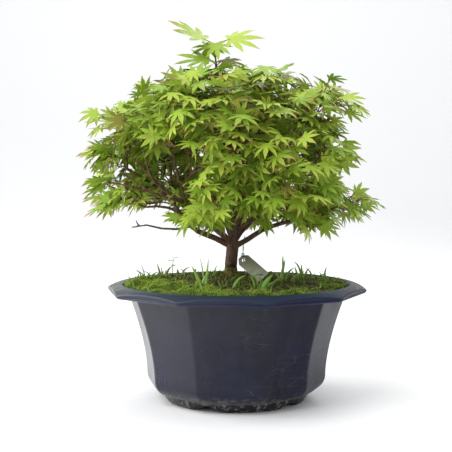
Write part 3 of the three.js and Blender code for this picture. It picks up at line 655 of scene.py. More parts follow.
def ground_point(x, y):
    """A point on the finished ground: moss raises it in hummocks, and crumbs make it rough."""
    flat = np.stack([x, y, np.zeros_like(x)], -1)
    moss = moss_share(x, y)
    hummock = np.clip(0.5 + ripple(flat, 8.0, 21) + 0.7 * ripple(flat, 3.2, 24), 0, 1.8)
    tall = 0.8 + 3.8 * hummock * np.clip(1 - y / 60, 0.10, 1)
    cushion = moss * tall * np.clip((WALL_TOP_R - np.hypot(x, y)) / 7, 0, 1)
    rough = (1 - moss) * (1.0 * ripple(flat, 2.2, 22) + 1.3 * ripple(flat, 5.0, 23))
    heap = 3.0 * np.exp(-(((x + 20) / 30) ** 2 + ((y - 18) / 34) ** 2))
    return np.stack([x, y, soil_height(x, y) + 0.6 + cushion + rough + heap], -1)


def ground_material(settings, mottle):
    """Dark damp soil that turns to moss green where the moss attribute says so."""
    material, w, shader = new_material("Mossy Soil", 0.95)
    place = w.place()
    earth = w.group(
        mottle, Place=place, Scale=160.0, Fine_Scale=900.0,
        Dark=(0.018, 0.013, 0.006, 1), Middle=color(settings.soil), Light=(0.19, 0.15, 0.065, 1),
    )
    green = w.group(
        mottle, Place=place, Scale=120.0, Fine_Scale=1200.0,
        Dark=(0.022, 0.034, 0.004, 1), Middle=(0.070, 0.105, 0.010, 1),
        Light=(0.21, 0.30, 0.035, 1),
    )
    data = w.add("ShaderNodeAttribute", attribute_name="moss")
    cover = w.ramp(data.outputs["Fac"], 0.25, 0.6)
    base = w.mix(cover, earth.outputs["Color"], green.outputs["Color"])
    rough = w.blend_value(cover, 0.82, 0.97)
    w.finish(shader, base, rough, earth.outputs["Height"], 0.8, 0.0012)
    return material


def crumb_material(name, dark, middle, light, mottle):
    """Matte bits of soil or dead leaf in three related colours."""
    material, w, shader = new_material(name, 0.9)
    place = w.place()
    bits = w.group(
        mottle, Place=place, Scale=220.0, Fine_Scale=1400.0,
        Dark=dark, Middle=middle, Light=light,
    )
    rough = w.ramp(w.noise(place, 800.0), 0.3, 0.7, 0.8, 0.98)
    w.finish(shader, bits.outputs["Color"], rough, bits.outputs["Height"], 0.6, 0.0006)
    return material


def moss_material(settings):
    """Moss shoots: each darker at its foot and yellower at its tip, by the shoot attribute."""
    material, w, shader = new_material("Moss Shoots", 0.8)
    tone, rise, _, _ = w.channels("shoot")
    body = w.mix(tone, (0.040, 0.080, 0.004, 1), color(settings.moss))
    tip = w.mix(tone, (0.15, 0.25, 0.010, 1), (0.46, 0.60, 0.05, 1))
    base = w.mix(w.ramp(rise, 0.35, 1.0), body, tip)
    patch = w.noise(w.place(), 45.0, 3.0)
    base = w.mix(w.ramp(patch, 0.60, 0.72, 0.0, 0.8), base, (0.17, 0.13, 0.035, 1))
    w.set(shader, Base_Color=base, Roughness=w.ramp(rise, 0.0, 1.0, 0.95, 0.7))
    return material


def scatter_on_ground(rng, count, accept):
    """Random ground points, kept where accept(x, y) beats a random number."""
    r = SOIL_R * np.sqrt(rng.uniform(0.0, 0.985, count * 4))
    turn = rng.uniform(0, 2 * math.pi, count * 4)
    x, y = r * np.cos(turn), r * np.sin(turn)
    keep = accept(x, y) > rng.uniform(0, 1, count * 4)
    clear = np.hypot(x - TRUNK_X, y) > TRUNK_R
    x, y = x[keep & clear][:count], y[keep & clear][:count]
    return ground_point(x, y)


def crumbs(rng, spots, low, high, squash):
    """Small lumps: an eight-sided solid of six points, pushed about at random, at each spot."""
    corner = np.array([[1, 0, 0], [0, 1, 0], [-1, 0, 0], [0, -1, 0], [0, 0, 1], [0, 0, -1]], float)
    face = np.array(
        [[0, 1, 4], [1, 2, 4], [2, 3, 4], [3, 0, 4], [1, 0, 5], [2, 1, 5], [3, 2, 5], [0, 3, 5]]
    )
    count = len(spots)
    size = rng.uniform(low, high, (count, 1, 1)) * rng.uniform(0.6, 1.3, (count, 6, 1))
    shape = corner[None] * size * [1, 1, squash]
    spin = rotations(rng, count, 0.7)
    points = np.einsum("nij,nvj->nvi", spin, shape) + spots[:, None]
    faces = (face[None] + (np.arange(count) * 6)[:, None, None]).reshape(-1, 3).tolist()
    return points.reshape(-1, 3) * MM, faces


def rotations(rng, count, tilt):
    """Turns at random about the vertical after a random tilt of up to the given angle."""
    turn = rng.uniform(0, 2 * math.pi, count)
    lean = rng.uniform(-tilt, tilt, count)
    c, s, cl, sl = np.cos(turn), np.sin(turn), np.cos(lean), np.sin(lean)
    zero, one = np.zeros(count), np.ones(count)
    about = np.stack([c, -s, zero, s, c, zero, zero, zero, one], -1).reshape(-1, 3, 3)
    tip = np.stack([one, zero, zero, zero, cl, -sl, zero, sl, cl], -1).reshape(-1, 3, 3)
    return about @ tip


class BONSAI_OT_ground(bpy.types.Operator):
    """Soil with crumbs and leaf litter, and the moss that covers its rim"""

    bl_idname = "bonsai.ground"
    bl_label = "Soil And Moss"

    def execute(self, context):
        settings = context.scene.bonsai_ground
        mottle = bpy.data.node_groups["Earthy Mottle"]
        soil_look = ground_material(settings, mottle)
        self.ground_sheet(soil_look)
        deep = crumb_material(
            "Soil Under The Surface", (0.014, 0.010, 0.006, 1), color(settings.soil),
            (0.10, 0.07, 0.04, 1), mottle,
        )
        paint_node("soil", deep)
        self.litter(settings, mottle)
        self.moss(settings)
        return {"FINISHED"}

    def ground_sheet(self, look):
        """The ground's skin: rings of points on the ground, with a lower skin under them."""
        rows, columns = 110, 300
        share = np.linspace(1, 0.012, rows)[:, None]
        angle = FIRST_CORNER + (np.arange(columns) / columns * 2 * math.pi)[None]
        low = WALL_LOW_R * sided_distance(angle, 60.0)
        up = (SOIL_EDGE - WALL_LOW_Z) / (LIP_Z - WALL_LOW_Z)
        edge = low + (WALL_TOP_R - low) * up - 0.9
        x, y = share * edge * np.cos(angle), share * edge * np.sin(angle)
        top = ground_point(x, y)
        under = np.stack([x, y, soil_height(x, y) + 0.15], -1)[::-1]
        under[..., 2] = np.minimum(under[..., 2], top[::-1, :, 2] - 0.3)
        points = np.concatenate([under, top]).reshape(-1, 3)
        total = rows * 2
        faces = grid_faces(total, columns)
        ring = np.arange(columns)
        base = (total - 1) * columns
        faces += [ring[::-1].tolist(), (base + ring).tolist()]
        sheet = new_piece("soil_surface", points * MM, faces, [look])
        moss = moss_share(points[:, 0], points[:, 1])
        point_colors(sheet, "moss", np.stack([moss, moss, moss, np.ones_like(moss)], -1))

    def litter(self, settings, mottle):
        """Loose crumbs and flakes of dead leaf, thickest round the trunk."""
        rng = np.random.default_rng(5)
        dark = crumb_material(
            "Soil Crumbs", (0.012, 0.009, 0.006, 1), color(settings.soil),
            (0.11, 0.08, 0.05, 1), mottle,
        )
        dead = crumb_material(
            "Dead Leaf Litter", (0.075, 0.038, 0.016, 1), (0.17, 0.10, 0.045, 1),
            (0.36, 0.25, 0.13, 1), mottle,
        )
        spots = scatter_on_ground(rng, settings.crumb_count, lambda x, y: 1.05 - moss_share(x, y))
        points, faces = crumbs(rng, spots, 0.6, 1.9, 0.75)
        new_piece("soil_crumbs", points, faces, [dark])
        flakes = 900
        spots = scatter_on_ground(rng, flakes, lambda x, y: 0.9 - moss_share(x, y))
        spots[:, 2] += 0.6
        points, faces = crumbs(rng, spots, 1.2, 3.4, 0.14)
        new_piece("leaf_litter", points, faces, [dead])

    def moss(self, settings):
        """Moss shoots: three-sided spikes that lean at random, in patches of like tone."""
        rng = np.random.default_rng(8)
        root = scatter_on_ground(
            rng, settings.moss_count, lambda x, y: np.maximum(moss_share(x, y) ** 1.3, 0.13)
        )
        count = len(root)
        lean = rng.normal(0, 0.95, (count, 2))
        tall = rng.uniform(1.4, 4.2, count) * (0.75 + 0.30 * ripple(root, 5.0, 31))
        tall *= np.clip(1 - root[:, 1] / 110, 0.35, 1)
        tip = root + np.column_stack([lean, tall])
        turn = rng.uniform(0, 2 * math.pi, count)[:, None] + np.arange(3) * 2 * math.pi / 3
        thick = rng.uniform(0.32, 0.66, (count, 1))
        foot = root[:, None] + np.stack(
            [thick * np.cos(turn), thick * np.sin(turn), np.full_like(turn, -0.5)], -1
        )
        points = np.concatenate([foot, tip[:, None]], 1)
        face = np.array([[0, 1, 3], [1, 2, 3], [2, 0, 3], [2, 1, 0]])
        faces = (face[None] + (np.arange(count) * 4)[:, None, None]).reshape(-1, 3).tolist()
        tone = np.clip(0.55 + 0.38 * ripple(root, 9.0, 33) + rng.normal(0, 0.27, count), 0, 1)
        shoots = new_piece(
            "moss_shoots", points.reshape(-1, 3) * MM, faces, [moss_material(settings)]
        )
        rise = np.tile([0, 0, 0, 1.0], count)
        data = np.stack([np.repeat(tone, 4), rise, rise, np.ones_like(rise)], -1)
        point_colors(shoots, "shoot", data)
        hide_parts(*[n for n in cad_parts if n.startswith("moss_")])


# ---------------------------------------------------------------- wood


class WoodSettings(bpy.types.PropertyGroup):
    voxel: length_setting("Bark Detail", "Size of the wood's surface cells", 0.75 * MM, 5)
    bark: color_setting("Bark", "Main colour of the bark", (0.13, 0.070, 0.030))


SCAR_Z = 160.5  # height of the dark ring scar round the trunk, in millimetres


def bark_material(settings, mottle):
    """Fine bark: reddish brown with pale flecks, a dark ring scar, and green moss at the foot."""
    material, w, shader = new_material("Maple Bark", 0.8)
    place = w.place()
    height = w.height(place)
    grain = w.group(
        mottle, Place=w.stretch(place, 1, 1, 0.3), Scale=260.0, Fine_Scale=900.0,
        Dark=(0.050, 0.028, 0.014, 1), Middle=color(settings.bark), Light=(0.24, 0.155, 0.085, 1),
    )
    base = grain.outputs["Color"]
    red = w.ramp(w.noise(place, 40.0, 3.0), 0.4, 0.65)
    base = w.tint(base, red, 0.45, (0.160, 0.055, 0.028))
    twiggy = w.ramp(height, 0.24, 0.40)
    base = w.tint(base, twiggy, 0.5, (0.17, 0.075, 0.036))
    wave = w.math("MULTIPLY", w.math("SUBTRACT", w.noise(place, 60.0), 0.5), 0.006)
    level = w.math("ADD", height, wave)
    low = w.ramp(level, 0.155, 0.163, 1.0, 0.0)
    algae = w.ramp(w.noise(place, 200.0), 0.35, 0.65)
    green = w.mix(algae, (0.090, 0.080, 0.014, 1), (0.24, 0.22, 0.035, 1))
    base = w.mix(w.math("MULTIPLY", low, 0.8), base, green)
    gap = w.math("ABSOLUTE", w.math("SUBTRACT", level, SCAR_Z * MM))
    ring = w.ramp(gap, 0.0009, 0.0030, 1.0, 0.0)
    base = w.tint(base, ring, 0.85, (0.012, 0.009, 0.007))
    rough = w.blend_value(low, 0.72, 0.92)
    cracks = w.cells(w.stretch(place, 1, 1, 0.35), 420.0, "DISTANCE_TO_EDGE")
    relief = w.math("ADD", grain.outputs["Height"], w.ramp(cracks.outputs["Distance"], 0, 0.12))
    w.finish(shader, base, rough, relief, 0.7, 0.0009)
    return material


# Surface roots: heading in degrees, reach and thickness in millimetres.
ROOTS = [
    (200, 23, 4.2), (262, 17, 3.2), (318, 20, 3.6), (20, 24, 4.0), (88, 18, 3.4), (140, 21, 3.6),
]


class BONSAI_OT_wood(bpy.types.Operator):
    """Trunk, limbs and surface roots with rounded bark"""

    bl_idname = "bonsai.wood"
    bl_label = "Trunk And Limbs"

    def execute(self, context):
        settings = context.scene.bonsai_wood
        look = bark_material(settings, bpy.data.node_groups["Earthy Mottle"])
        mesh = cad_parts[WOOD_NODE].data.copy()
        wood = bpy.data.objects.new("maple_wood", mesh)
        context.scene.collection.objects.link(wood)
        finish_with(wood, "WELD", merge_threshold=0.00001)
        roots = self.surface_roots()
        joined = self.joined(wood, roots)
        finish_with(joined, "REMESH", mode="VOXEL", voxel_size=settings.voxel, adaptivity=0.0)
        finish_with(joined, "SMOOTH", factor=0.5, iterations=5)
        self.roughen(joined)
        joined.data.materials.clear()
        joined.data.materials.append(look)
        joined.data.polygons.foreach_set("use_smooth", np.full(len(joined.data.polygons), True))
        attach(joined, "root")
        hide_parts(WOOD_NODE)
        return {"FINISHED"}

    def surface_roots(self):
        """Roots that leave the trunk's foot and dive into the soil: tapered curved tubes."""
        paths, radii = [], []
        for heading, reach, thick in ROOTS:
            turn = math.radians(heading)
            out = np.array([math.cos(turn), math.sin(turn), 0.0])
            foot = np.array([TRUNK_X, 0.0, soil_height(TRUNK_X, 0.0)])
            line = [
                foot + out * 2 + [0, 0, 8], foot + out * 7.5 + [0, 0, 2.5],
                foot + out * reach * 0.65 + [0, 0, 0.4], foot + out * reach + [0, 0, -3.5],
            ]
            paths.append(curve_through(line, 12))
            radii.append(np.linspace(thick, thick * 0.35, 12))
        return tubes(np.array(paths) * MM, np.array(radii) * MM, 10)

    def joined(self, wood, roots):
        """One mesh object that holds the welded wood and the root tubes."""
        points, faces = roots
        own = mesh_points(wood.data)
        kept = [tuple(p.vertices) for p in wood.data.polygons]
        more = [tuple(i + len(own) for i in face) for face in faces]
        mesh = bpy.data.meshes.new("maple_wood")
        mesh.from_pydata(np.concatenate([own, points]).tolist(), [], kept + more)
        old = wood.data
        wood.data = mesh
        bpy.data.meshes.remove(old)
        return wood

    def roughen(self, wood):
        """Moves each point along its normal by bark noise, and swells the wood a hair."""
        mesh = wood.data
        points, normals = mesh_points(mesh), mesh_points(mesh, "normal")
        near = points / MM
        fissure = ripple(near * [1, 1, 0.35], 1.1, 41)
        knots = ripple(near, 4.5, 42)
        trunk = np.clip((190 - near[:, 2]) / 30, 0, 1)
        push = 0.14 + fissure * (0.10 + 0.22 * trunk) + knots * (0.10 + 0.35 * trunk)
        scar = np.exp(-(((near[:, 2] - SCAR_Z) / 1.3) ** 2)) * trunk
        push -= 0.55 * scar
        mesh.vertices.foreach_set("co", (points + normals * push[:, None] * MM).ravel())
        mesh.update()


# ---------------------------------------------------------------- leaves


class LeafSettings(bpy.types.PropertyGroup):
    length: length_setting("Leaf Length", "From the stalk to the tip of the middle lobe", 25 * MM)
    seed: bpy.props.IntProperty(
        name="Crown Seed", description="Picks where the twigs of the crown end", default=17, min=0,
    )
    young: color_setting("Young Leaf", "Colour of the palest leaves", (0.44, 0.57, 0.060))
    grown: color_setting("Grown Leaf", "Colour of the deepest leaves", (0.235, 0.40, 0.030))
    flush: color_setting("Pink Flush", "Colour at the edges of new leaves", (0.56, 0.235, 0.12))


# Each lobe's heading in degrees from the middle one, and its length.
LOBES = [(0, 1.0), (34, 0.93), (-34, 0.93), (68, 0.76), (-68, 0.76), (106, 0.45), (-106, 0.45)]


def leaf_template():
    """One maple leaf of length one, lying along +Y from its stalk at the origin.

    Seven lobes fan out from the stalk. Each half lobe is four faces between its midrib and an
    edge that runs from the notch over one shoulder and one tooth to the tip. The underside is
    one face under each half lobe, a hair lower, and shares the outline. Returns the points,
    the faces, how far each point is from its midrib and how far out it is (0 to 1), and one
    for each point of the underside.
    """
    lobes = sorted(LOBES)
    points, side, reach, under, faces = [], [], [], [], []

    def put(x, y, beside, below=0.0):
        points.append((x, y, -0.011 * below))
        side.append(beside)
        reach.append(min(1.0, math.hypot(x, y)))
        under.append(below)
        return len(points) - 1

    def at(angle, out, beside=0.0, below=0.0, away=1.0):
        turn = math.radians(angle)
        x = math.sin(turn) * out + math.cos(turn) * beside
        y = math.cos(turn) * out - math.sin(turn) * beside
        return put(x, y, away, below)

    middle, middle_low = put(0, 0, 0), put(0, 0, 0, 1.0)
    notches = [at(-152, 0.10)]
    for a, b in zip(lobes[:-1], lobes[1:]):
        notches.append(at((a[0] + b[0]) / 2, 0.36 * math.sqrt(a[1] * b[1])))
    notches.append(at(152, 0.10))
    for i, (angle, long) in enumerate(lobes):
        rib = at(angle, 0.42 * long, away=0.0)
        rib_low = at(angle, 0.42 * long, below=1.0, away=0.0)
        vein = at(angle, 0.74 * long, away=0.0)
        tip = at(angle, long, away=0.5)
        wide = long**0.6
        for sign, foot in ((-1, notches[i]), (1, notches[i + 1])):
            shoulder = at(angle, 0.58 * long, sign * 0.118 * wide)
            tooth = at(angle, 0.78 * long, sign * 0.066 * wide)
            made = [
                (middle, rib, foot), (foot, rib, vein, shoulder), (shoulder, vein, tooth),
                (tooth, vein, tip), (middle_low, foot, shoulder, tooth, tip, rib_low),
            ]
            faces += [f if sign < 0 else f[::-1] for f in made]
    faces += [(middle, notches[0], notches[-1]), (middle_low, notches[-1], notches[0])]
    return np.array(points), faces, np.array(side), np.array(reach), np.array(under)


LEAF_POINTS, LEAF_FACES, LEAF_SIDE, LEAF_REACH, LEAF_UNDER = leaf_template()


def grow_leaves(rng, foot, ahead, face_up, length):
    """Leaf blades at their feet, pointing ahead and facing face_up.

    Each blade is the template scaled to its length, bent down by a share of the square of the
    distance from its stalk and of the square of its width, folded along every rib and rippled
    round its edge. The blade's axes are made square to each other first.
    """
    count = len(foot)
    normal = unit(face_up - (face_up * ahead).sum(-1, keepdims=True) * ahead)
    across = np.cross(ahead, normal)
    shape = np.repeat(LEAF_POINTS[None], count, 0)
    reach = LEAF_REACH[None]
    droop = rng.uniform(-0.02, 0.30, (count, 1))
    cup = rng.uniform(-0.12, 0.24, (count, 1))
    fold = rng.uniform(0.02, 0.10, (count, 1))
    wave = rng.uniform(0, 2 * math.pi, (count, 1))
    x, y = shape[..., 0].copy(), shape[..., 1].copy()
    narrow = rng.uniform(0.88, 1.12, (count, 1))
    shape[..., 0] = x * narrow
    shape[..., 2] += (
        -droop * reach**2 - cup * x**2 + fold * LEAF_SIDE * reach
        + 0.045 * np.sin(3 * np.arctan2(x, y) + wave) * reach
    )
    shape[..., 1] = y * (1 - 0.2 * droop * reach)
    shape *= length[:, None, None]
    basis = np.stack([across, ahead, normal], -1)
    return np.einsum("nij,nvj->nvi", basis, shape) + foot[:, None]


def leaf_material(settings):
    """Thin leaf: tone by leaf, paler ribs and underside, pink outer lobes, and fine veins."""
    material, w, shader = new_material("Maple Leaf", 0.5, Specular_IOR_Level=0.28)
    tone, side, reach, blush = w.channels("leaf")
    back, aged, _, _ = w.channels("kind")
    place = w.place()
    base = w.mix(w.ramp(tone, 0.05, 0.95), color(settings.grown), color(settings.young))
    mottled = w.ramp(w.noise(place, 260.0, 4.0), 0.35, 0.7)
    base = w.tint(base, mottled, 0.25, (0.26, 0.40, 0.025))
    base = w.tint(base, back, 0.35, (0.38, 0.48, 0.13))
    rib = w.ramp(side, 0.0, 0.13, 1.0, 0.0)
    base = w.tint(base, rib, 0.35, (0.52, 0.58, 0.13))
    outer = w.math("MULTIPLY", w.ramp(side, 0.7, 1.0, 0.0, 0.5), w.ramp(reach, 0.4, 0.8))
    tip = w.ramp(reach, 0.55, 0.95)
    edge = w.math("MULTIPLY", w.math("MAXIMUM", outer, tip), blush, True)
    base = w.mix(w.math("MULTIPLY", edge, 0.9), base, color(settings.flush))
    base = w.tint(base, aged, 0.7, (0.20, 0.13, 0.035))
    rough = w.ramp(mottled, 0.0, 1.0, 0.42, 0.6)
    relief = w.math("ADD", w.math("MULTIPLY", rib, 0.6), w.noise(place, 1500.0, 2.0))
    w.finish(shader, base, rough, relief, 0.35, 0.0003)
    return material


def stalk_material():
    """Leaf stalks and green twigs: reddish green with a faint grain."""
    material, w, shader = new_material("Leaf Stalk", 0.5)
    place = w.place()
    grain = w.noise(w.stretch(place, 1, 1, 0.5), 300.0, 3.0)
    base = w.mix(w.ramp(grain, 0.35, 0.65), (0.14, 0.085, 0.030, 1), (0.28, 0.075, 0.042, 1))
    w.finish(shader, base, w.ramp(grain, 0.3, 0.7, 0.42, 0.62), grain, 0.3, 0.0003)
    return material


# The crown in millimetres: height of its middle, half its width, depth and height, and the
# power of its outline. Then the share that no twig's end lies beyond, the least distance from one
# end to the next near the outline and inside, and the height below which no twig starts.
CROWN_Z, CROWN_HALF, CROWN_POWER = 291, (171, 160, 108), 2.6
OUTER_SHARE, NEAR_OUTER, NEAR_INNER = 0.83, 24.5, 34.0
TWIG_START_Z, BARE_BRANCH_X, BARE_BRANCH_Z = 196, -55, 234
LEAVES_TOP_Z = 401  # no leaf but those of the top shoot reaches higher


def crown_share(spot):
    """How far out a point lies in the crown: 0 in its middle and 1 at its outline.

    The outline is a superellipsoid, |x/a| to the power n and so on summing to one. It is drawn
    in on the right at mid height, low down on the left and high up on the left, and rippled.
    """
    x, y, z = spot[..., 0], spot[..., 1], spot[..., 2]
    right = np.clip(x / 120, 0, 1) * np.exp(-(((z - 308) / 50) ** 2))
    left = np.clip(-x / 120, 0, 1) * np.clip((246 - z) / 22, 0, 1)
    crest = np.clip(-x / 90, 0, 1) * np.clip((z - 345) / 25, 0, 1)
    wide = 0.975 - 0.20 * right - 0.20 * left - 0.18 * crest
    wide = wide + 0.085 * ripple(spot, 30.0, 71)
    z = z + 9 * ripple(spot * [1, 1, 0], 26.0, 72)
    (a, b, c), n = CROWN_HALF, CROWN_POWER
    power = np.abs((x - TRUNK_X) / (a * wide)) ** n + np.abs(y / b) ** n
    return (power + np.abs((z - CROWN_Z) / c) ** n) ** (1 / n)


def crown_targets(rng, first):
    """Where the twigs end: seeded points in the crown's shell, none too close to another.

    The points in first are kept. Candidates are thinned low down on the front left, under the
    right of the crown and between its layers there.
    """
    low, high, tries = (-175, -160, 202), (168, 160, 386), 15000
    spots = rng.uniform(low, high, (tries, 3))
    share = crown_share(spots)
    floor = np.interp(spots[:, 0], [-110, -104, -56, -50, 20, 40], [222, 234, 234, 214, 214, 203])
    keep = (share < OUTER_SHARE) & (spots[:, 2] > floor)
    keep &= share > rng.uniform(0.12, 0.66, len(spots))
    turn = np.degrees(np.arctan2(spots[:, 1], spots[:, 0])) % 360
    bare = (turn > 186) & (turn < 240) & (spots[:, 2] < 296) & (share > 0.35)
    keep &= ~bare | (rng.uniform(0, 1, len(spots)) < 0.03)
    x, z = spots[:, 0], spots[:, 2]
    under = (z < 234) & (x > -15) & (x < 78) & (spots[:, 1] < 50)
    between = (x > 48) & (np.sin((z - 0.22 * x) * 2 * math.pi / 37) < -0.3)
    keep &= ~(under | between) | (rng.uniform(0, 1, len(spots)) < 0.02)
    chosen = list(first)
    for spot, how_far in zip(spots[keep], share[keep]):
        near = np.linalg.norm(np.array(chosen) - spot, axis=1).min()
        if near > (NEAR_OUTER if how_far > 0.5 else NEAR_INNER):
            chosen.append(spot)
    return np.array(chosen)


def crown_twigs(rng, targets, wood):
    """A curved path to each target from the nearest wood or from a twig already grown.

    Targets are joined from the inside out. A start costs its distance, and more if it lies
    further out than the target or above it. No twig starts low on the bare branch at the left.
    """
    order = np.argsort(crown_share(targets))
    leafy = (wood[:, 0] > BARE_BRANCH_X) | (wood[:, 2] > BARE_BRANCH_Z)
    starts = wood[(wood[:, 2] > TWIG_START_Z) & leafy]
    depth = crown_share(starts)
    paths = np.zeros((len(targets), 10, 3))
    for k in order:
        goal = targets[k]
        cost = np.linalg.norm(starts - goal, axis=1)
        cost += 60 * np.clip(depth - crown_share(goal), 0, None)
        cost += 0.8 * np.clip(starts[:, 2] - goal[2], 0, None)
        root = starts[cost.argmin()]
        long = np.linalg.norm(goal - root)
        sway = rng.normal(0, 0.045, 3) * long + [0, 0, 0.05 * long]
        paths[k] = curve_through([root, (root + goal) / 2 + sway, goal], 10)
        starts = np.concatenate([starts, paths[k, 3:9]])
        depth = np.concatenate([depth, crown_share(paths[k, 3:9])])
    return paths


def leaf_places(rng, path):
    """Foot, direction and facing of each leaf on a twig: opposite pairs and one at the end."""
    long = np.linalg.norm(path[-1] - path[0])
    spots = [share for share in (0.52, 0.78, 1.0) if long * (1 - share) < 34]
    run = unit(path[-1] - path[-3])
    beside = unit(np.cross(run, [0.0, 0.0, 1.0]) + 1e-6)
    over = np.cross(beside, run)
    feet, ways = [path[-1]], [run + rng.normal(0, 0.2, 3)]
    for n, share in enumerate(spots):
        spin = (n % 2) * 1.2 + rng.uniform(-0.5, 0.5)
        pair = beside * math.cos(spin) + over * math.sin(spin)
        for sign in (1, -1):
            feet.append(path[int(round(share * 9))])
            ways.append(sign * pair * rng.uniform(0.8, 1.1) + run * rng.uniform(0.3, 0.9))
    return np.array(feet), unit(np.array(ways))


def grow_spray(rng, paths, length):
    """Stalks and blades of the leaves on a spray's twigs, in millimetres."""
    places = [leaf_places(rng, path) for path in paths]
    feet = np.concatenate([place[0] for place in places])
    ways = np.concatenate([place[1] for place in places])
    count = len(feet)
    outward = unit((feet - [0, 0, 262]) * [1, 1, 0.75] + 1e-6)
    stalk = rng.uniform(9, 21, (count, 1))
    ways = unit(ways + outward * 0.45)
    lift = rng.uniform(-0.1, 0.4, (count, 1)) * [0, 0, 1]
    end = feet + (ways + lift) * stalk
    middle = (feet + end) / 2 + [0, 0, 1] * stalk * 0.12
    stalks = np.stack([feet, feet * 0.3 + middle * 0.7, middle * 0.4 + end * 0.6, end], 1)
    sink = rng.uniform(0.05, 0.9, (count, 1))
    ahead = unit(unit(end - middle) * [1, 1, 0.4] + outward * 0.30 - [0, 0, 1] * sink)
    facing = unit(
        outward * rng.uniform(0.3, 1.1, (count, 1)) + [0, 0, 1] * rng.uniform(0.3, 1.0, (count, 1))
        + rng.normal(0, 0.33, (count, 3))
    )
    size = length * rng.uniform(0.66, 1.14, count)
    blades = grow_leaves(rng, end, ahead, facing, size)
    keep = leaves_kept(rng, feet, blades)
    return stalks[keep], blades[keep]


def leaves_kept(rng, feet, blades):
    """Tells which leaves stay: those inside the model's box that don't hang too low.

    Most leaves that would hide the open stems go, and some in front of the low limbs.
    """
    count = len(feet)
    low, high = np.array(CAD_BOX) / MM
    inside = ((blades > low - 5) & (blades < high + 5)).all((1, 2))
    lowest = np.interp(feet[:, 0], [-125, -105, -60, -50, 20, 40], [211, 222, 222, 199, 199, 189])
    clear = (blades[..., 2].min(1) > lowest) & (blades[..., 2].max(1) < LEAVES_TOP_Z)
    heart = blades.mean(1)
    shown = np.concatenate([curve_through(stem, 10) for stem in OPEN_STEMS])
    gap = np.hypot(heart[:, None, 0] - shown[:, 0], heart[:, None, 2] - shown[:, 2])
    hides = ((gap < 14) & (heart[:, None, 1] < shown[:, 1] + 14)).any(1)
    keep = inside & clear & ~(hides & (rng.uniform(0, 1, count) < 0.88))
    x, y, z = heart.T
    over_limbs = (x > -6) & (x < 64) & (y < 30) & (z < 229)
    return keep & ~(over_limbs & (rng.uniform(0, 1, count) < 0.6))


# Leaves of the top shoot: stalk's end, tip, and the way the blade faces, in millimetres.
TOP_LEAVES = [
    ((-40, -4, 431), (-82, -8, 452), (0.35, -0.35, 0.9)),
    ((-6, 2, 431), (37, 2, 438), (-0.1, -0.55, 0.9)),
    ((-23, -6, 424), (-20, -28, 402), (0.0, -1.0, 0.55)),
    ((-30, 4, 424), (-42, 26, 410), (-0.3, 0.8, 0.5)),
    ((-34, -2, 407), (-74, -14, 402), (-0.2, -0.5, 0.9)),
    ((-12, 0, 406), (14, -14, 392), (0.4, -0.6, 0.7)),
]
TOP_STEM = [(-17, 4, 352), (-19, 3, 380), (-23, 1, 402), (-25, 0, 424)]


def top_shoot(rng):
    """The tree's highest shoot: a bare stem with a few leaves held at its end."""
    end, tip, facing = (np.array(column, float) for column in zip(*TOP_LEAVES))
    stem = curve_through(TOP_STEM, 10)
    foot = stem[np.where(end[:, 2] > 415, 9, 6)]
    middle = (foot + end) / 2 + [0, 0, 1.5]
    stalks = np.stack([foot, foot * 0.3 + middle * 0.7, middle * 0.4 + end * 0.6, end], 1)
    size = np.linalg.norm(tip - end, axis=1)
    blades = grow_leaves(rng, end, unit(tip - end), facing, size)
    blades[..., 2] = np.minimum(blades[..., 2], CAD_BOX[1][2] / MM + 4)
    return stem, stalks, blades


# Ends of the few twigs that stand out of the crown's outline.
OUTER_TARGETS = np.array([
    (126, -20, 350), (112, 30, 364), (-148, -30, 331), (-152, -40, 296), (-156, 10, 262),
    (-138, -40, 240), (140, -30, 238), (84, -60, 212), (134, 40, 226),
], float)
# Bare reddish stems on the open left of the crown, each as start, middle and end.
OPEN_STEMS = [
    [(-62, -52, 238), (-98, -72, 252), (-130, -84, 274)],
    [(-60, -52, 238), (-90, -70, 262), (-121, -82, 294)],
    [(-58, -50, 240), (-66, -66, 268), (-73, -74, 300)],
    [(-66, -54, 240), (-96, -76, 268), (-104, -84, 300)],
    [(-40, -50, 276), (-48, -66, 288), (-52, -74, 296)],
    [(-84, -62, 246), (-116, -70, 256), (-142, -70, 262)],
]


def tapers(start, end, count, steps=10):
    """Radii of some twigs that narrow from start to end."""
    return np.tile(np.linspace(start, end, steps), (count, 1))


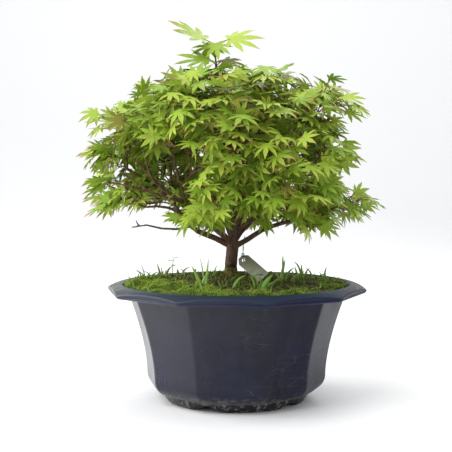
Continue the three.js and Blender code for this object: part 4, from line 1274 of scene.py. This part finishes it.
class BONSAI_OT_leaves(bpy.types.Operator):
    """Sprays of maple leaves on their twigs and stalks"""

    bl_idname = "bonsai.leaves"
    bl_label = "Leaf Sprays"

    def execute(self, context):
        settings = context.scene.bonsai_leaves
        looks = leaf_material(settings), stalk_material(), bpy.data.materials["Maple Bark"]
        wood = cad_points(WOOD_NODE)
        names = sorted(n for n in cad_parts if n.startswith("leaves_"))
        if not names:
            raise RuntimeError("the model has no leaf nodes")
        rng = np.random.default_rng(settings.seed)
        homes = np.array([mesh_points(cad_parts[node].data).mean(0) / MM for node in names])
        homes[:, 2] = np.minimum(homes[:, 2], 380)
        targets = crown_targets(rng, np.concatenate([homes, OUTER_TARGETS]))
        paths = crown_twigs(rng, targets, wood)
        gap = np.linalg.norm(targets[:, None] - homes[None], axis=-1)
        owner = gap.argmin(1)
        owner[: len(names)] = np.arange(len(names))
        total = 0
        for k, node in enumerate(names):
            own = np.random.default_rng(100 + k)
            mine = paths[owner == k]
            stalks, blades = grow_spray(own, mine, settings.length / MM)
            thick = tapers(1.15, 0.55, len(mine))
            if node == "leaves_leader_1":
                stem, more_stalks, more_blades = top_shoot(own)
                mine = np.concatenate([mine, stem[None]])
                thick = np.concatenate([thick, tapers(1.3, 0.7, 1)])
                stalks = np.concatenate([stalks, more_stalks])
                blades = np.concatenate([blades, more_blades])
            if node == "leaves_front_left_1":
                bare = np.array([curve_through(stem, 10) for stem in OPEN_STEMS])
                mine = np.concatenate([mine, bare])
                thick = np.concatenate([thick, tapers(1.5, 0.9, len(bare))])
            total += len(blades)
            self.build(node, own, mine, thick, stalks, blades, looks)
        print("leaves grown:", total, "twigs:", len(paths))
        return {"FINISHED"}

    def build(self, node, rng, paths, thick, stalks, blades, looks):
        """One object of closed leaf blades, and one of stalks and the spray's twigs."""
        count, size = blades.shape[:2]
        shift = np.arange(count) * size
        faces = [tuple(int(i + s) for i in face) for s in shift for face in LEAF_FACES]
        points = blades.reshape(-1, 3) * MM
        sheet = new_piece(node + "_blades", points, faces, looks[:1])
        sheet.data.set_sharp_from_angle(angle=math.radians(62))
        tone = np.clip(rng.normal(0.5, 0.27, count), 0, 1)
        patch = ripple(blades.mean(1), 24.0, 73)
        blush = np.clip(rng.normal(0.34, 0.34, count) + 0.55 * patch, 0, 1)
        aged = (rng.uniform(0, 1, count) < 0.07) * 1.0
        data = np.stack(
            [
                np.repeat(tone, size), np.tile(LEAF_SIDE, count),
                np.tile(LEAF_REACH, count), np.repeat(blush, size),
            ], -1,
        )
        point_colors(sheet, "leaf", data)
        back = np.tile(LEAF_UNDER, count)
        old = np.repeat(aged, size)
        point_colors(sheet, "kind", np.stack([back, old, old, np.ones_like(old)], -1))
        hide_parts(node)
        thin = tapers(0.6, 0.42, len(stalks), 4)
        stalk_points, stalk_faces = tubes(stalks * MM, thin * MM, 4)
        twig_points, twig_faces = tubes(paths * MM, thick * MM, 6)
        index = np.r_[np.zeros(len(stalk_faces), int), np.ones(len(twig_faces), int)]
        more = [tuple(i + len(stalk_points) for i in face) for face in twig_faces]
        new_piece(
            node + "_twig", np.concatenate([stalk_points, twig_points]), stalk_faces + more,
            looks[1:], index,
        )


# ---------------------------------------------------------------- weeds


class WeedSettings(bpy.types.PropertyGroup):
    width: length_setting("Blade Width", "Widest part of a grass blade", 3.7 * MM)
    grass: color_setting("Grass", "Colour of the grass", (0.17, 0.38, 0.030))


# Grass by CAD tuft: middle x and y, then each blade's foot from there as x and y, its lean as x
# and y, height, bend and width share.
TUFTS = {
    "grass_back_left": (-92, 60, [
        (-2, 0, -5, 0, 17, 0.3, 0.7), (0, 2, -2, 0, 13, 0.2, 0.6), (5, -4, 9, 0, 12, 0.9, 0.7),
        (-14, 0, -14, -4, 9, 1.0, 0.7), (24, 10, 12, 2, 10, 1.0, 0.6),
    ]),
    "grass_left": (-110, 20, [
        (0, 0, -16, -2, 10, 1.1, 0.8), (-1, 6, -6, 2, 17, 0.4, 0.35), (6, -4, 10, 2, 9, 0.9, 0.7),
        (-4, -8, -8, -6, 12, 0.9, 0.35), (12, 4, 14, 0, 8, 1.0, 0.5),
    ]),
    "grass_front_left": (-38, -92, [
        (-1, -4, -11, 0, 23, 0.15, 1.25), (3, 2, 4, 2, 33, 0.1, 1.1), (3, 4, -6, 2, 37, 0.25, 0.6),
        (4, 3, 9, 2, 20, 1.5, 0.6), (0, -2, 8, -4, 13, 0.9, 0.8),
    ]),
    "grass_front": (-4, -88, [
        (0, 0, 16, -2, 16, 0.8, 1.1), (2, 4, 11, 4, 7, 0.9, 0.8), (-14, 8, -4, 0, 9, 0.6, 0.5),
        (-22, 84, 10, 0, 6, 0.8, 1.5), (-22, 110, 4, 0, 9, 0.2, 0.4),
    ]),
    "grass_front_right": (27, -88, [
        (2, -3, 12, 1, 17, 0.35, 1.7), (4, 2, 20, 8, 10, 0.9, 1.2), (-6, 6, -7, 2, 13, 0.9, 0.7),
        (12, 6, 18, -2, 12, 1.1, 1.0), (-2, 22, -8, 0, 12, 0.7, 0.6),
    ]),
    "grass_right": (72, -38, [
        (-20, 0, 6, 2, 27, 0.1, 1.1), (-17, 2, 0, 0, 30, 0.9, 0.7), (-19, 4, -14, 0, 12, 1.0, 0.9),
        (0, 36, -5, 0, 11, 0.4, 0.9), (4, 38, -5, 0, 17, 0.2, 0.9), (8, 38, -1, 0, 19, 0.1, 1.0),
        (8, 38, -11, 0, 21, 0.9, 0.7), (-8, 6, 18, 4, 10, 1.2, 1.2), (-14, 8, 12, 0, 16, 0.9, 0.8),
    ]),
    "grass_back_right": (109, 30, [
        (0, 0, 4, 0, 17, 0.35, 0.8), (0, 2, -6, 4, 10, 0.6, 0.7), (-14, -8, -10, 0, 13, 0.9, 0.8),
        (-24, 4, 8, 0, 12, 0.6, 0.6),
    ]),
}


def grass_blades(rng, feet, lean, tall, bend, width):
    """Folded blades: each follows a bow from its foot to its tip and narrows to a point.

    At share t of its length the middle is foot + lean (t + bend t squared) / (1 + bend) and
    height tall (t (1 + bend) - bend t squared), and the two edges stand beside it, raised a
    little, so that the blade is a shallow V.
    """
    steps = 9
    t = np.linspace(0, 1, steps)[None, :, None]
    bend = bend[:, None, None]
    flat = lean[:, None] * (t + bend * t**2) / (1 + bend)
    up = tall[:, None, None] * (t * (1 + bend) - bend * t**2)
    middle = feet[:, None] + np.concatenate([flat, up], -1)
    along = unit(np.gradient(middle, axis=1))
    twist = rng.uniform(-0.9, 0.9, len(feet))
    turned = np.column_stack([np.cos(twist), np.sin(twist), np.zeros(len(feet))])
    beside = unit(turned[:, None] - (turned[:, None] * along).sum(-1, keepdims=True) * along)
    over = np.cross(along, beside)
    wide = width[:, None, None] / 2 * np.clip(1.25 * (1 - t**1.6) * (0.45 + t) ** 0.4, 0.03, 1)
    edge_a = middle + beside * wide + over * wide * 0.35
    edge_b = middle - beside * wide + over * wide * 0.35
    return np.stack([edge_a, middle, edge_b], 2), t[0, :, 0]


def grass_material(settings):
    """Grass: lighter along the midrib and yellower to the tip, with fine lengthwise veins."""
    material, w, shader = new_material("Grass Blade", 0.45)
    tone, side, along, _ = w.channels("blade")
    base = w.mix(tone, color(settings.grass), (0.24, 0.36, 0.06, 1))
    base = w.mix(w.ramp(side, 0.0, 0.3, 0.4, 0.0), base, (0.36, 0.48, 0.14, 1))
    base = w.mix(w.ramp(along, 0.75, 1.0, 0.0, 0.55), base, (0.38, 0.33, 0.12, 1))
    base = w.mix(w.ramp(along, 0.0, 0.18, 0.6, 0.0), base, (0.30, 0.30, 0.14, 1))
    veins = w.math("SINE", w.math("MULTIPLY", side, 28.0))
    w.finish(shader, base, w.ramp(veins, -1.0, 1.0, 0.38, 0.55), veins, 0.25, 0.0002)
    return material


def blade_piece(name, rng, feet, lean, tall, bend, width, look):
    """One object of solid grass blades with their tone, side and length stored at each point."""
    points, t = grass_blades(rng, feet, lean, tall, bend, width)
    count, steps = points.shape[:2]
    strip = np.array(grid_faces(steps, 3, closed=False))
    faces = (strip[None] + (np.arange(count) * steps * 3)[:, None, None]).reshape(-1, 4).tolist()
    piece = new_piece(name, points.reshape(-1, 3) * MM, faces, [look])
    tone = np.repeat(rng.uniform(0, 1, count), steps * 3)
    side = np.tile([1.0, 0.0, 1.0], count * steps)
    along = np.tile(np.repeat(t, 3), count)
    point_colors(piece, "blade", np.stack([tone, side, along, np.ones_like(tone)], -1))
    finish_with(piece, "SOLIDIFY", thickness=0.3 * MM, offset=0.0)
    return piece


class BONSAI_OT_weeds(bpy.types.Operator):
    """Grass tufts, short grass and seedlings in the moss"""

    bl_idname = "bonsai.weeds"
    bl_label = "Grass And Seedlings"

    def execute(self, context):
        settings = context.scene.bonsai_weeds
        look = grass_material(settings)
        for seed, (node, (x, y, blades)) in enumerate(TUFTS.items()):
            self.tuft(node, 60 + seed, x, y, np.array(blades, float), settings, look)
        self.lawn(settings, look)
        for node in ("seedling_left", "seedling_right"):
            self.seedling(node, look)
        return {"FINISHED"}

    def tuft(self, node, seed, x, y, blades, settings, look):
        """The listed blades of one tuft and five short ones round them."""
        rng = np.random.default_rng(seed)
        short, spread = 5, 6.0
        extra = np.column_stack(
            [
                rng.normal(0, spread, (short, 2)), rng.normal(0, spread, (short, 2)),
                rng.uniform(4, 9, short), rng.uniform(0.5, 1.1, short),
                rng.uniform(0.25, 0.45, short),
            ]
        )
        rows = np.concatenate([blades, extra])
        spot = np.array([[x, y]]) + rows[:, :2]
        feet = ground_point(spot[:, 0], spot[:, 1]) - [0, 0, 1.0]
        piece = blade_piece(
            node + "_blades", rng, feet, rows[:, 2:4], rows[:, 4] + 1.0, rows[:, 5],
            rows[:, 6] * settings.width / MM, look,
        )
        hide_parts(node)

    def lawn(self, settings, look):
        """Scattered short blades over the whole ground."""
        rng = np.random.default_rng(77)
        wanted, buried = 150, [0, 0, 0.8]
        feet = scatter_on_ground(rng, wanted, lambda x, y: 0.25 + 0.6 * moss_share(x, y)) - buried
        count = len(feet)
        lean = rng.normal(0, 5.5, (count, 2))
        blade_piece(
            "short_grass", rng, feet, lean, rng.uniform(3, 8, count), rng.uniform(0.2, 1.1, count),
            rng.uniform(0.3, 0.6, count) * settings.width / MM, look,
        )

    def seedling(self, node, look):
        """A stem with cupped round leaves, each at a share of its height and a heading."""
        low, high = (np.array(corner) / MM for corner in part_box(node))
        middle = (low + high) / 2
        foot = ground_point(middle[:1], middle[1:2])[0] - [0, 0, 1]
        top = np.array([middle[0] + 1, middle[1], high[2] - 1.5])
        stem = curve_through([foot, foot * 0.5 + top * 0.5 + [-1, 0, 0], top], 8)
        points, faces = tubes(stem[None] * MM, np.linspace(0.6, 0.4, 8)[None] * MM, 6)
        leaves, large = [(1.0, 350)], 1.6
        if "left" in node:
            leaves, large = [(1.0, 20), (0.93, 200), (0.62, 110), (0.58, 290)], 1.0
        for share, heading in leaves:
            disc = self.seed_leaf(stem[int(share * 7)], math.radians(heading), large)
            start = len(points)
            points = np.concatenate([points, disc * MM])
            faces = faces + grid_faces(5, 12, start=start)
            faces += [tuple(range(start + 11, start - 1, -1)), tuple(range(start + 48, start + 60))]
        piece = new_piece(node + "_plant", points, faces, [look])
        size = len(points)
        tone = np.full(size, 0.3)
        point_colors(piece, "blade", np.stack([tone, tone, tone + 0.2, np.ones(size)], -1))
        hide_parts(node)

    def seed_leaf(self, foot, heading, large):
        """A thin cupped leaf: ring radii grow and shrink round a flat rim, top over bottom."""
        turn = np.arange(12) / 12 * 2 * math.pi
        rows = []
        for share, lift in [(0.25, -0.2), (0.95, -0.15), (1.0, 0.05), (0.95, 0.22), (0.25, 0.1)]:
            long, wide = 3.4 * share, 2.2 * share
            x = 3.6 + long * np.cos(turn)
            y = wide * np.sin(turn)
            z = lift + 0.09 * y**2 - 0.035 * (x - 1) ** 2 + 0.2 * x
            rows.append(np.stack([x, y, z], -1))
        disc = np.array(rows).reshape(-1, 3) * [large, large * 1.25, large]
        c, s = math.cos(heading), math.sin(heading)
        spin = np.array([[c, -s, 0], [s, c, 0], [0, 0, 1]])
        return disc @ spin.T + foot


# ---------------------------------------------------------------- label


LABEL_HOLE = (9.5, -15.0, 167.5)  # middle of the label's hole, in millimetres


class LabelSettings(bpy.types.PropertyGroup):
    tint: color_setting("Label", "Colour of the weathered label", (0.26, 0.27, 0.185))


class BONSAI_OT_label(bpy.types.Operator):
    """Blank plant label and its wire"""

    bl_idname = "bonsai.label"
    bl_label = "Name Label"

    def execute(self, context):
        settings = context.scene.bonsai_label
        paint_node("name_label", self.plastic(settings))
        self.tie(self.wire())
        return {"FINISHED"}

    def tie(self, look):
        """Two pairs of twisted strands, one down to the hole and one along the label's edge.

        Each strand is its path plus a small radius times the cosine and sine of a growing turn.
        A coil of two turns stands above the hole and a knot beside it.
        """
        own = cad_points("label_wire")
        upper = own[own[:, 2] > own[:, 2].max() - 1.5].mean(0)
        hole = np.array(LABEL_HOLE)
        lines = [
            [
                upper, upper * 0.5 + hole * 0.5 + [-1.2, -1.5, 1], hole + [0, -1.4, 0.6],
                hole + [1.6, 1.8, -3],
            ],
            hole + np.array([(0, -1.4, 1.6), (4.0, -0.6, 2.6), (8.5, 0.8, 1.0), (12, 2.0, -2.0)]),
        ]
        strands, steps = [], 48
        for line in lines:
            path = curve_through(line, steps)
            for turn in (0.0, math.pi):
                a = turn + np.linspace(0, 14, steps)
                wound = np.stack([np.cos(a), np.sin(a) * 0.6, np.sin(a)], -1)
                strands.append(path + 0.45 * wound)
        a = np.linspace(0, 4 * math.pi, steps)
        coil = np.stack([2.0 * np.cos(a), 0.25 * a, 2.0 * np.sin(a)], -1)
        strands.append(hole + [-1.0, -1.5, 7.0] + coil)
        knot = np.stack([1.1 * np.cos(a * 1.5), 0.5 * np.sin(a), 1.1 * np.sin(a * 1.5)], -1)
        strands.append(hole + [7.0, -0.6, 2.0] + knot)
        radii = np.full((len(strands), steps), 0.36)
        points, faces = tubes(np.array(strands) * MM, radii * MM, 7)
        piece = new_piece("tie_wire", points, faces, [look])
        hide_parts("label_wire")

    def plastic(self, settings):
        """Weathered grey-green plastic with fine brushed lines, stains and soil splashes."""
        material, w, shader = new_material("Weathered Label", 0.5)
        place = w.place()
        lines = w.noise(w.stretch(place, 0.5, 1, 1.6), 900.0, 2.0)
        stains = w.noise(place, 120.0, 5.0, 0.6)
        far = w.ramp(w.height(place), 0.150, 0.168, 1.0, 0.0)
        base = w.mix(far, color(settings.tint), (0.64, 0.65, 0.50, 1))
        base = w.mix(w.ramp(stains, 0.45, 0.75, 0.0, 0.5), base, (0.20, 0.21, 0.15, 1))
        base = w.mix(w.ramp(lines, 0.45, 0.75, 0.0, 0.25), base, (0.16, 0.17, 0.12, 1))
        low = w.ramp(w.height(place), 0.142, 0.156, 1.0, 0.0)
        splash = w.math("MULTIPLY", low, w.ramp(w.noise(place, 380.0, 5.0), 0.46, 0.6))
        base = w.tint(base, splash, 0.8, (0.10, 0.075, 0.045))
        w.finish(shader, base, w.ramp(stains, 0.3, 0.7, 0.38, 0.6), lines, 0.2, 0.0003)
        return material

    def wire(self):
        """Dull steel wire with spots of tarnish."""
        material, w, shader = new_material("Tie Wire", 0.4)
        place = w.place()
        spots = w.noise(place, 900.0, 4.0)
        base = w.mix(w.ramp(spots, 0.4, 0.65), (0.32, 0.33, 0.33, 1), (0.10, 0.085, 0.07, 1))
        w.set(
            shader, Base_Color=base, Metallic=w.ramp(spots, 0.4, 0.7, 0.9, 0.4),
            Roughness=w.ramp(spots, 0.3, 0.7, 0.3, 0.65),
        )
        return material


# ---------------------------------------------------------------- stage


class StageSettings(bpy.types.PropertyGroup):
    distance: length_setting("Camera Distance", "From the camera to the pot's axis", 1.258)
    height: length_setting("Camera Height", "Camera height above the floor", 0.277)
    pitch: bpy.props.FloatProperty(
        name="Pitch", description="How far the camera looks down", default=math.radians(3.13),
        subtype="ANGLE",
    )


class BONSAI_OT_stage(bpy.types.Operator):
    """Pale floor, soft lights and the camera"""

    bl_idname = "bonsai.stage"
    bl_label = "Stage"

    def execute(self, context):
        settings = context.scene.bonsai_stage
        self.floor()
        self.lights(context)
        self.camera(context, settings)
        return {"FINISHED"}

    def floor(self):
        """A wide pale sheet that curves up into a backdrop far behind."""
        material, _, shader = new_material("Studio Floor", 0.9)
        shader.inputs["Base Color"].default_value = (0.93, 0.93, 0.93, 1)
        reach, flat, radius, top = 6.0, 2.2, 0.9, 5.0
        turn = np.linspace(0, math.pi / 2, 13)[1:]
        bend = np.column_stack([flat + radius * np.sin(turn), radius - radius * np.cos(turn)])
        line = [(-reach, 0.0), (flat, 0.0), *bend, (flat + radius, top)]
        points = [(x, float(y), float(z)) for y, z in line for x in (-reach, reach)]
        mesh = bpy.data.meshes.new("studio_floor")
        mesh.from_pydata(points, [], grid_faces(len(line), 2, closed=False))
        mesh.materials.append(material)
        mesh.polygons.foreach_set("use_smooth", np.full(len(mesh.polygons), True))
        floor = bpy.data.objects.new("studio_floor", mesh)
        bpy.context.scene.collection.objects.link(floor)

    def lights(self, context):
        """A bright even world and four large soft lamps."""
        world = context.scene.world or bpy.data.worlds.new("Studio World")
        context.scene.world = world
        world.use_nodes = True
        world.node_tree.nodes["Background"].inputs[0].default_value = (0.97, 0.985, 1.0, 1)
        world.node_tree.nodes["Background"].inputs[1].default_value = 0.72
        context.scene.view_settings.view_transform = "Standard"
        for name, place, size, power in [
            ("key", (-1.0, -1.3, 2.1), 1.3, 27.0),
            ("top", (0.3, 0.2, 2.4), 1.6, 10.0),
            ("back", (0.6, 1.5, 1.5), 1.4, 14.0),
            ("left", (-2.0, 0.4, 0.8), 1.5, 36.0),
        ]:
            data = bpy.data.lights.new("studio_" + name, "AREA")
            data.size = size
            data.energy = power
            lamp = bpy.data.objects.new("studio_" + name, data)
            lamp.location = place
            aim = Vector((0, 0, 0.25)) - Vector(place)
            lamp.rotation_euler = aim.to_track_quat("-Z", "Y").to_euler()
            context.scene.collection.objects.link(lamp)

    def camera(self, context, settings):
        """The camera stands in front of the pot and looks slightly down."""
        data = bpy.data.cameras.new("camera")
        data.sensor_width = 36.0
        data.lens = 83.5
        eye = bpy.data.objects.new("camera", data)
        eye.location = (-0.0115, -settings.distance, settings.height)
        eye.rotation_euler = (math.pi / 2 - settings.pitch, 0, 0)
        context.scene.collection.objects.link(eye)
        context.scene.camera = eye


# ---------------------------------------------------------------- panel and run


class BONSAI_PT_panel(bpy.types.Panel):
    """Lists the pieces of the bonsai and their settings"""

    bl_idname = "BONSAI_PT_panel"
    bl_label = "Maple Bonsai"
    bl_space_type = "VIEW_3D"
    bl_region_type = "UI"
    bl_category = "Bonsai"

    def draw(self, context):
        for operator, group in STEPS:
            box = self.layout.box()
            box.operator(operator.bl_idname)
            settings = getattr(context.scene, group)
            for name in type(settings).__annotations__:
                box.prop(settings, name)


SETTINGS = {
    "bonsai_pot": PotSettings,
    "bonsai_ground": GroundSettings,
    "bonsai_wood": WoodSettings,
    "bonsai_leaves": LeafSettings,
    "bonsai_weeds": WeedSettings,
    "bonsai_label": LabelSettings,
    "bonsai_stage": StageSettings,
}
STEPS = [
    (BONSAI_OT_stage, "bonsai_stage"),
    (BONSAI_OT_pot, "bonsai_pot"),
    (BONSAI_OT_ground, "bonsai_ground"),
    (BONSAI_OT_wood, "bonsai_wood"),
    (BONSAI_OT_leaves, "bonsai_leaves"),
    (BONSAI_OT_weeds, "bonsai_weeds"),
    (BONSAI_OT_label, "bonsai_label"),
]
CLASSES = [*SETTINGS.values(), *[operator for operator, _ in STEPS], BONSAI_PT_panel]


def register():
    for cls in CLASSES:
        bpy.utils.register_class(cls)
    for name, group in SETTINGS.items():
        setattr(bpy.types.Scene, name, bpy.props.PointerProperty(type=group))


def unregister():
    for name in SETTINGS:
        delattr(bpy.types.Scene, name)
    for cls in reversed(CLASSES):
        bpy.utils.unregister_class(cls)


def main():
    """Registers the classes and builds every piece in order."""
    register()
    dust_group()
    mottle_group()
    for operator, _ in STEPS:
        family, name = operator.bl_idname.split(".")
        getattr(getattr(bpy.ops, family), name)()


if __name__ == "__main__":
    main()
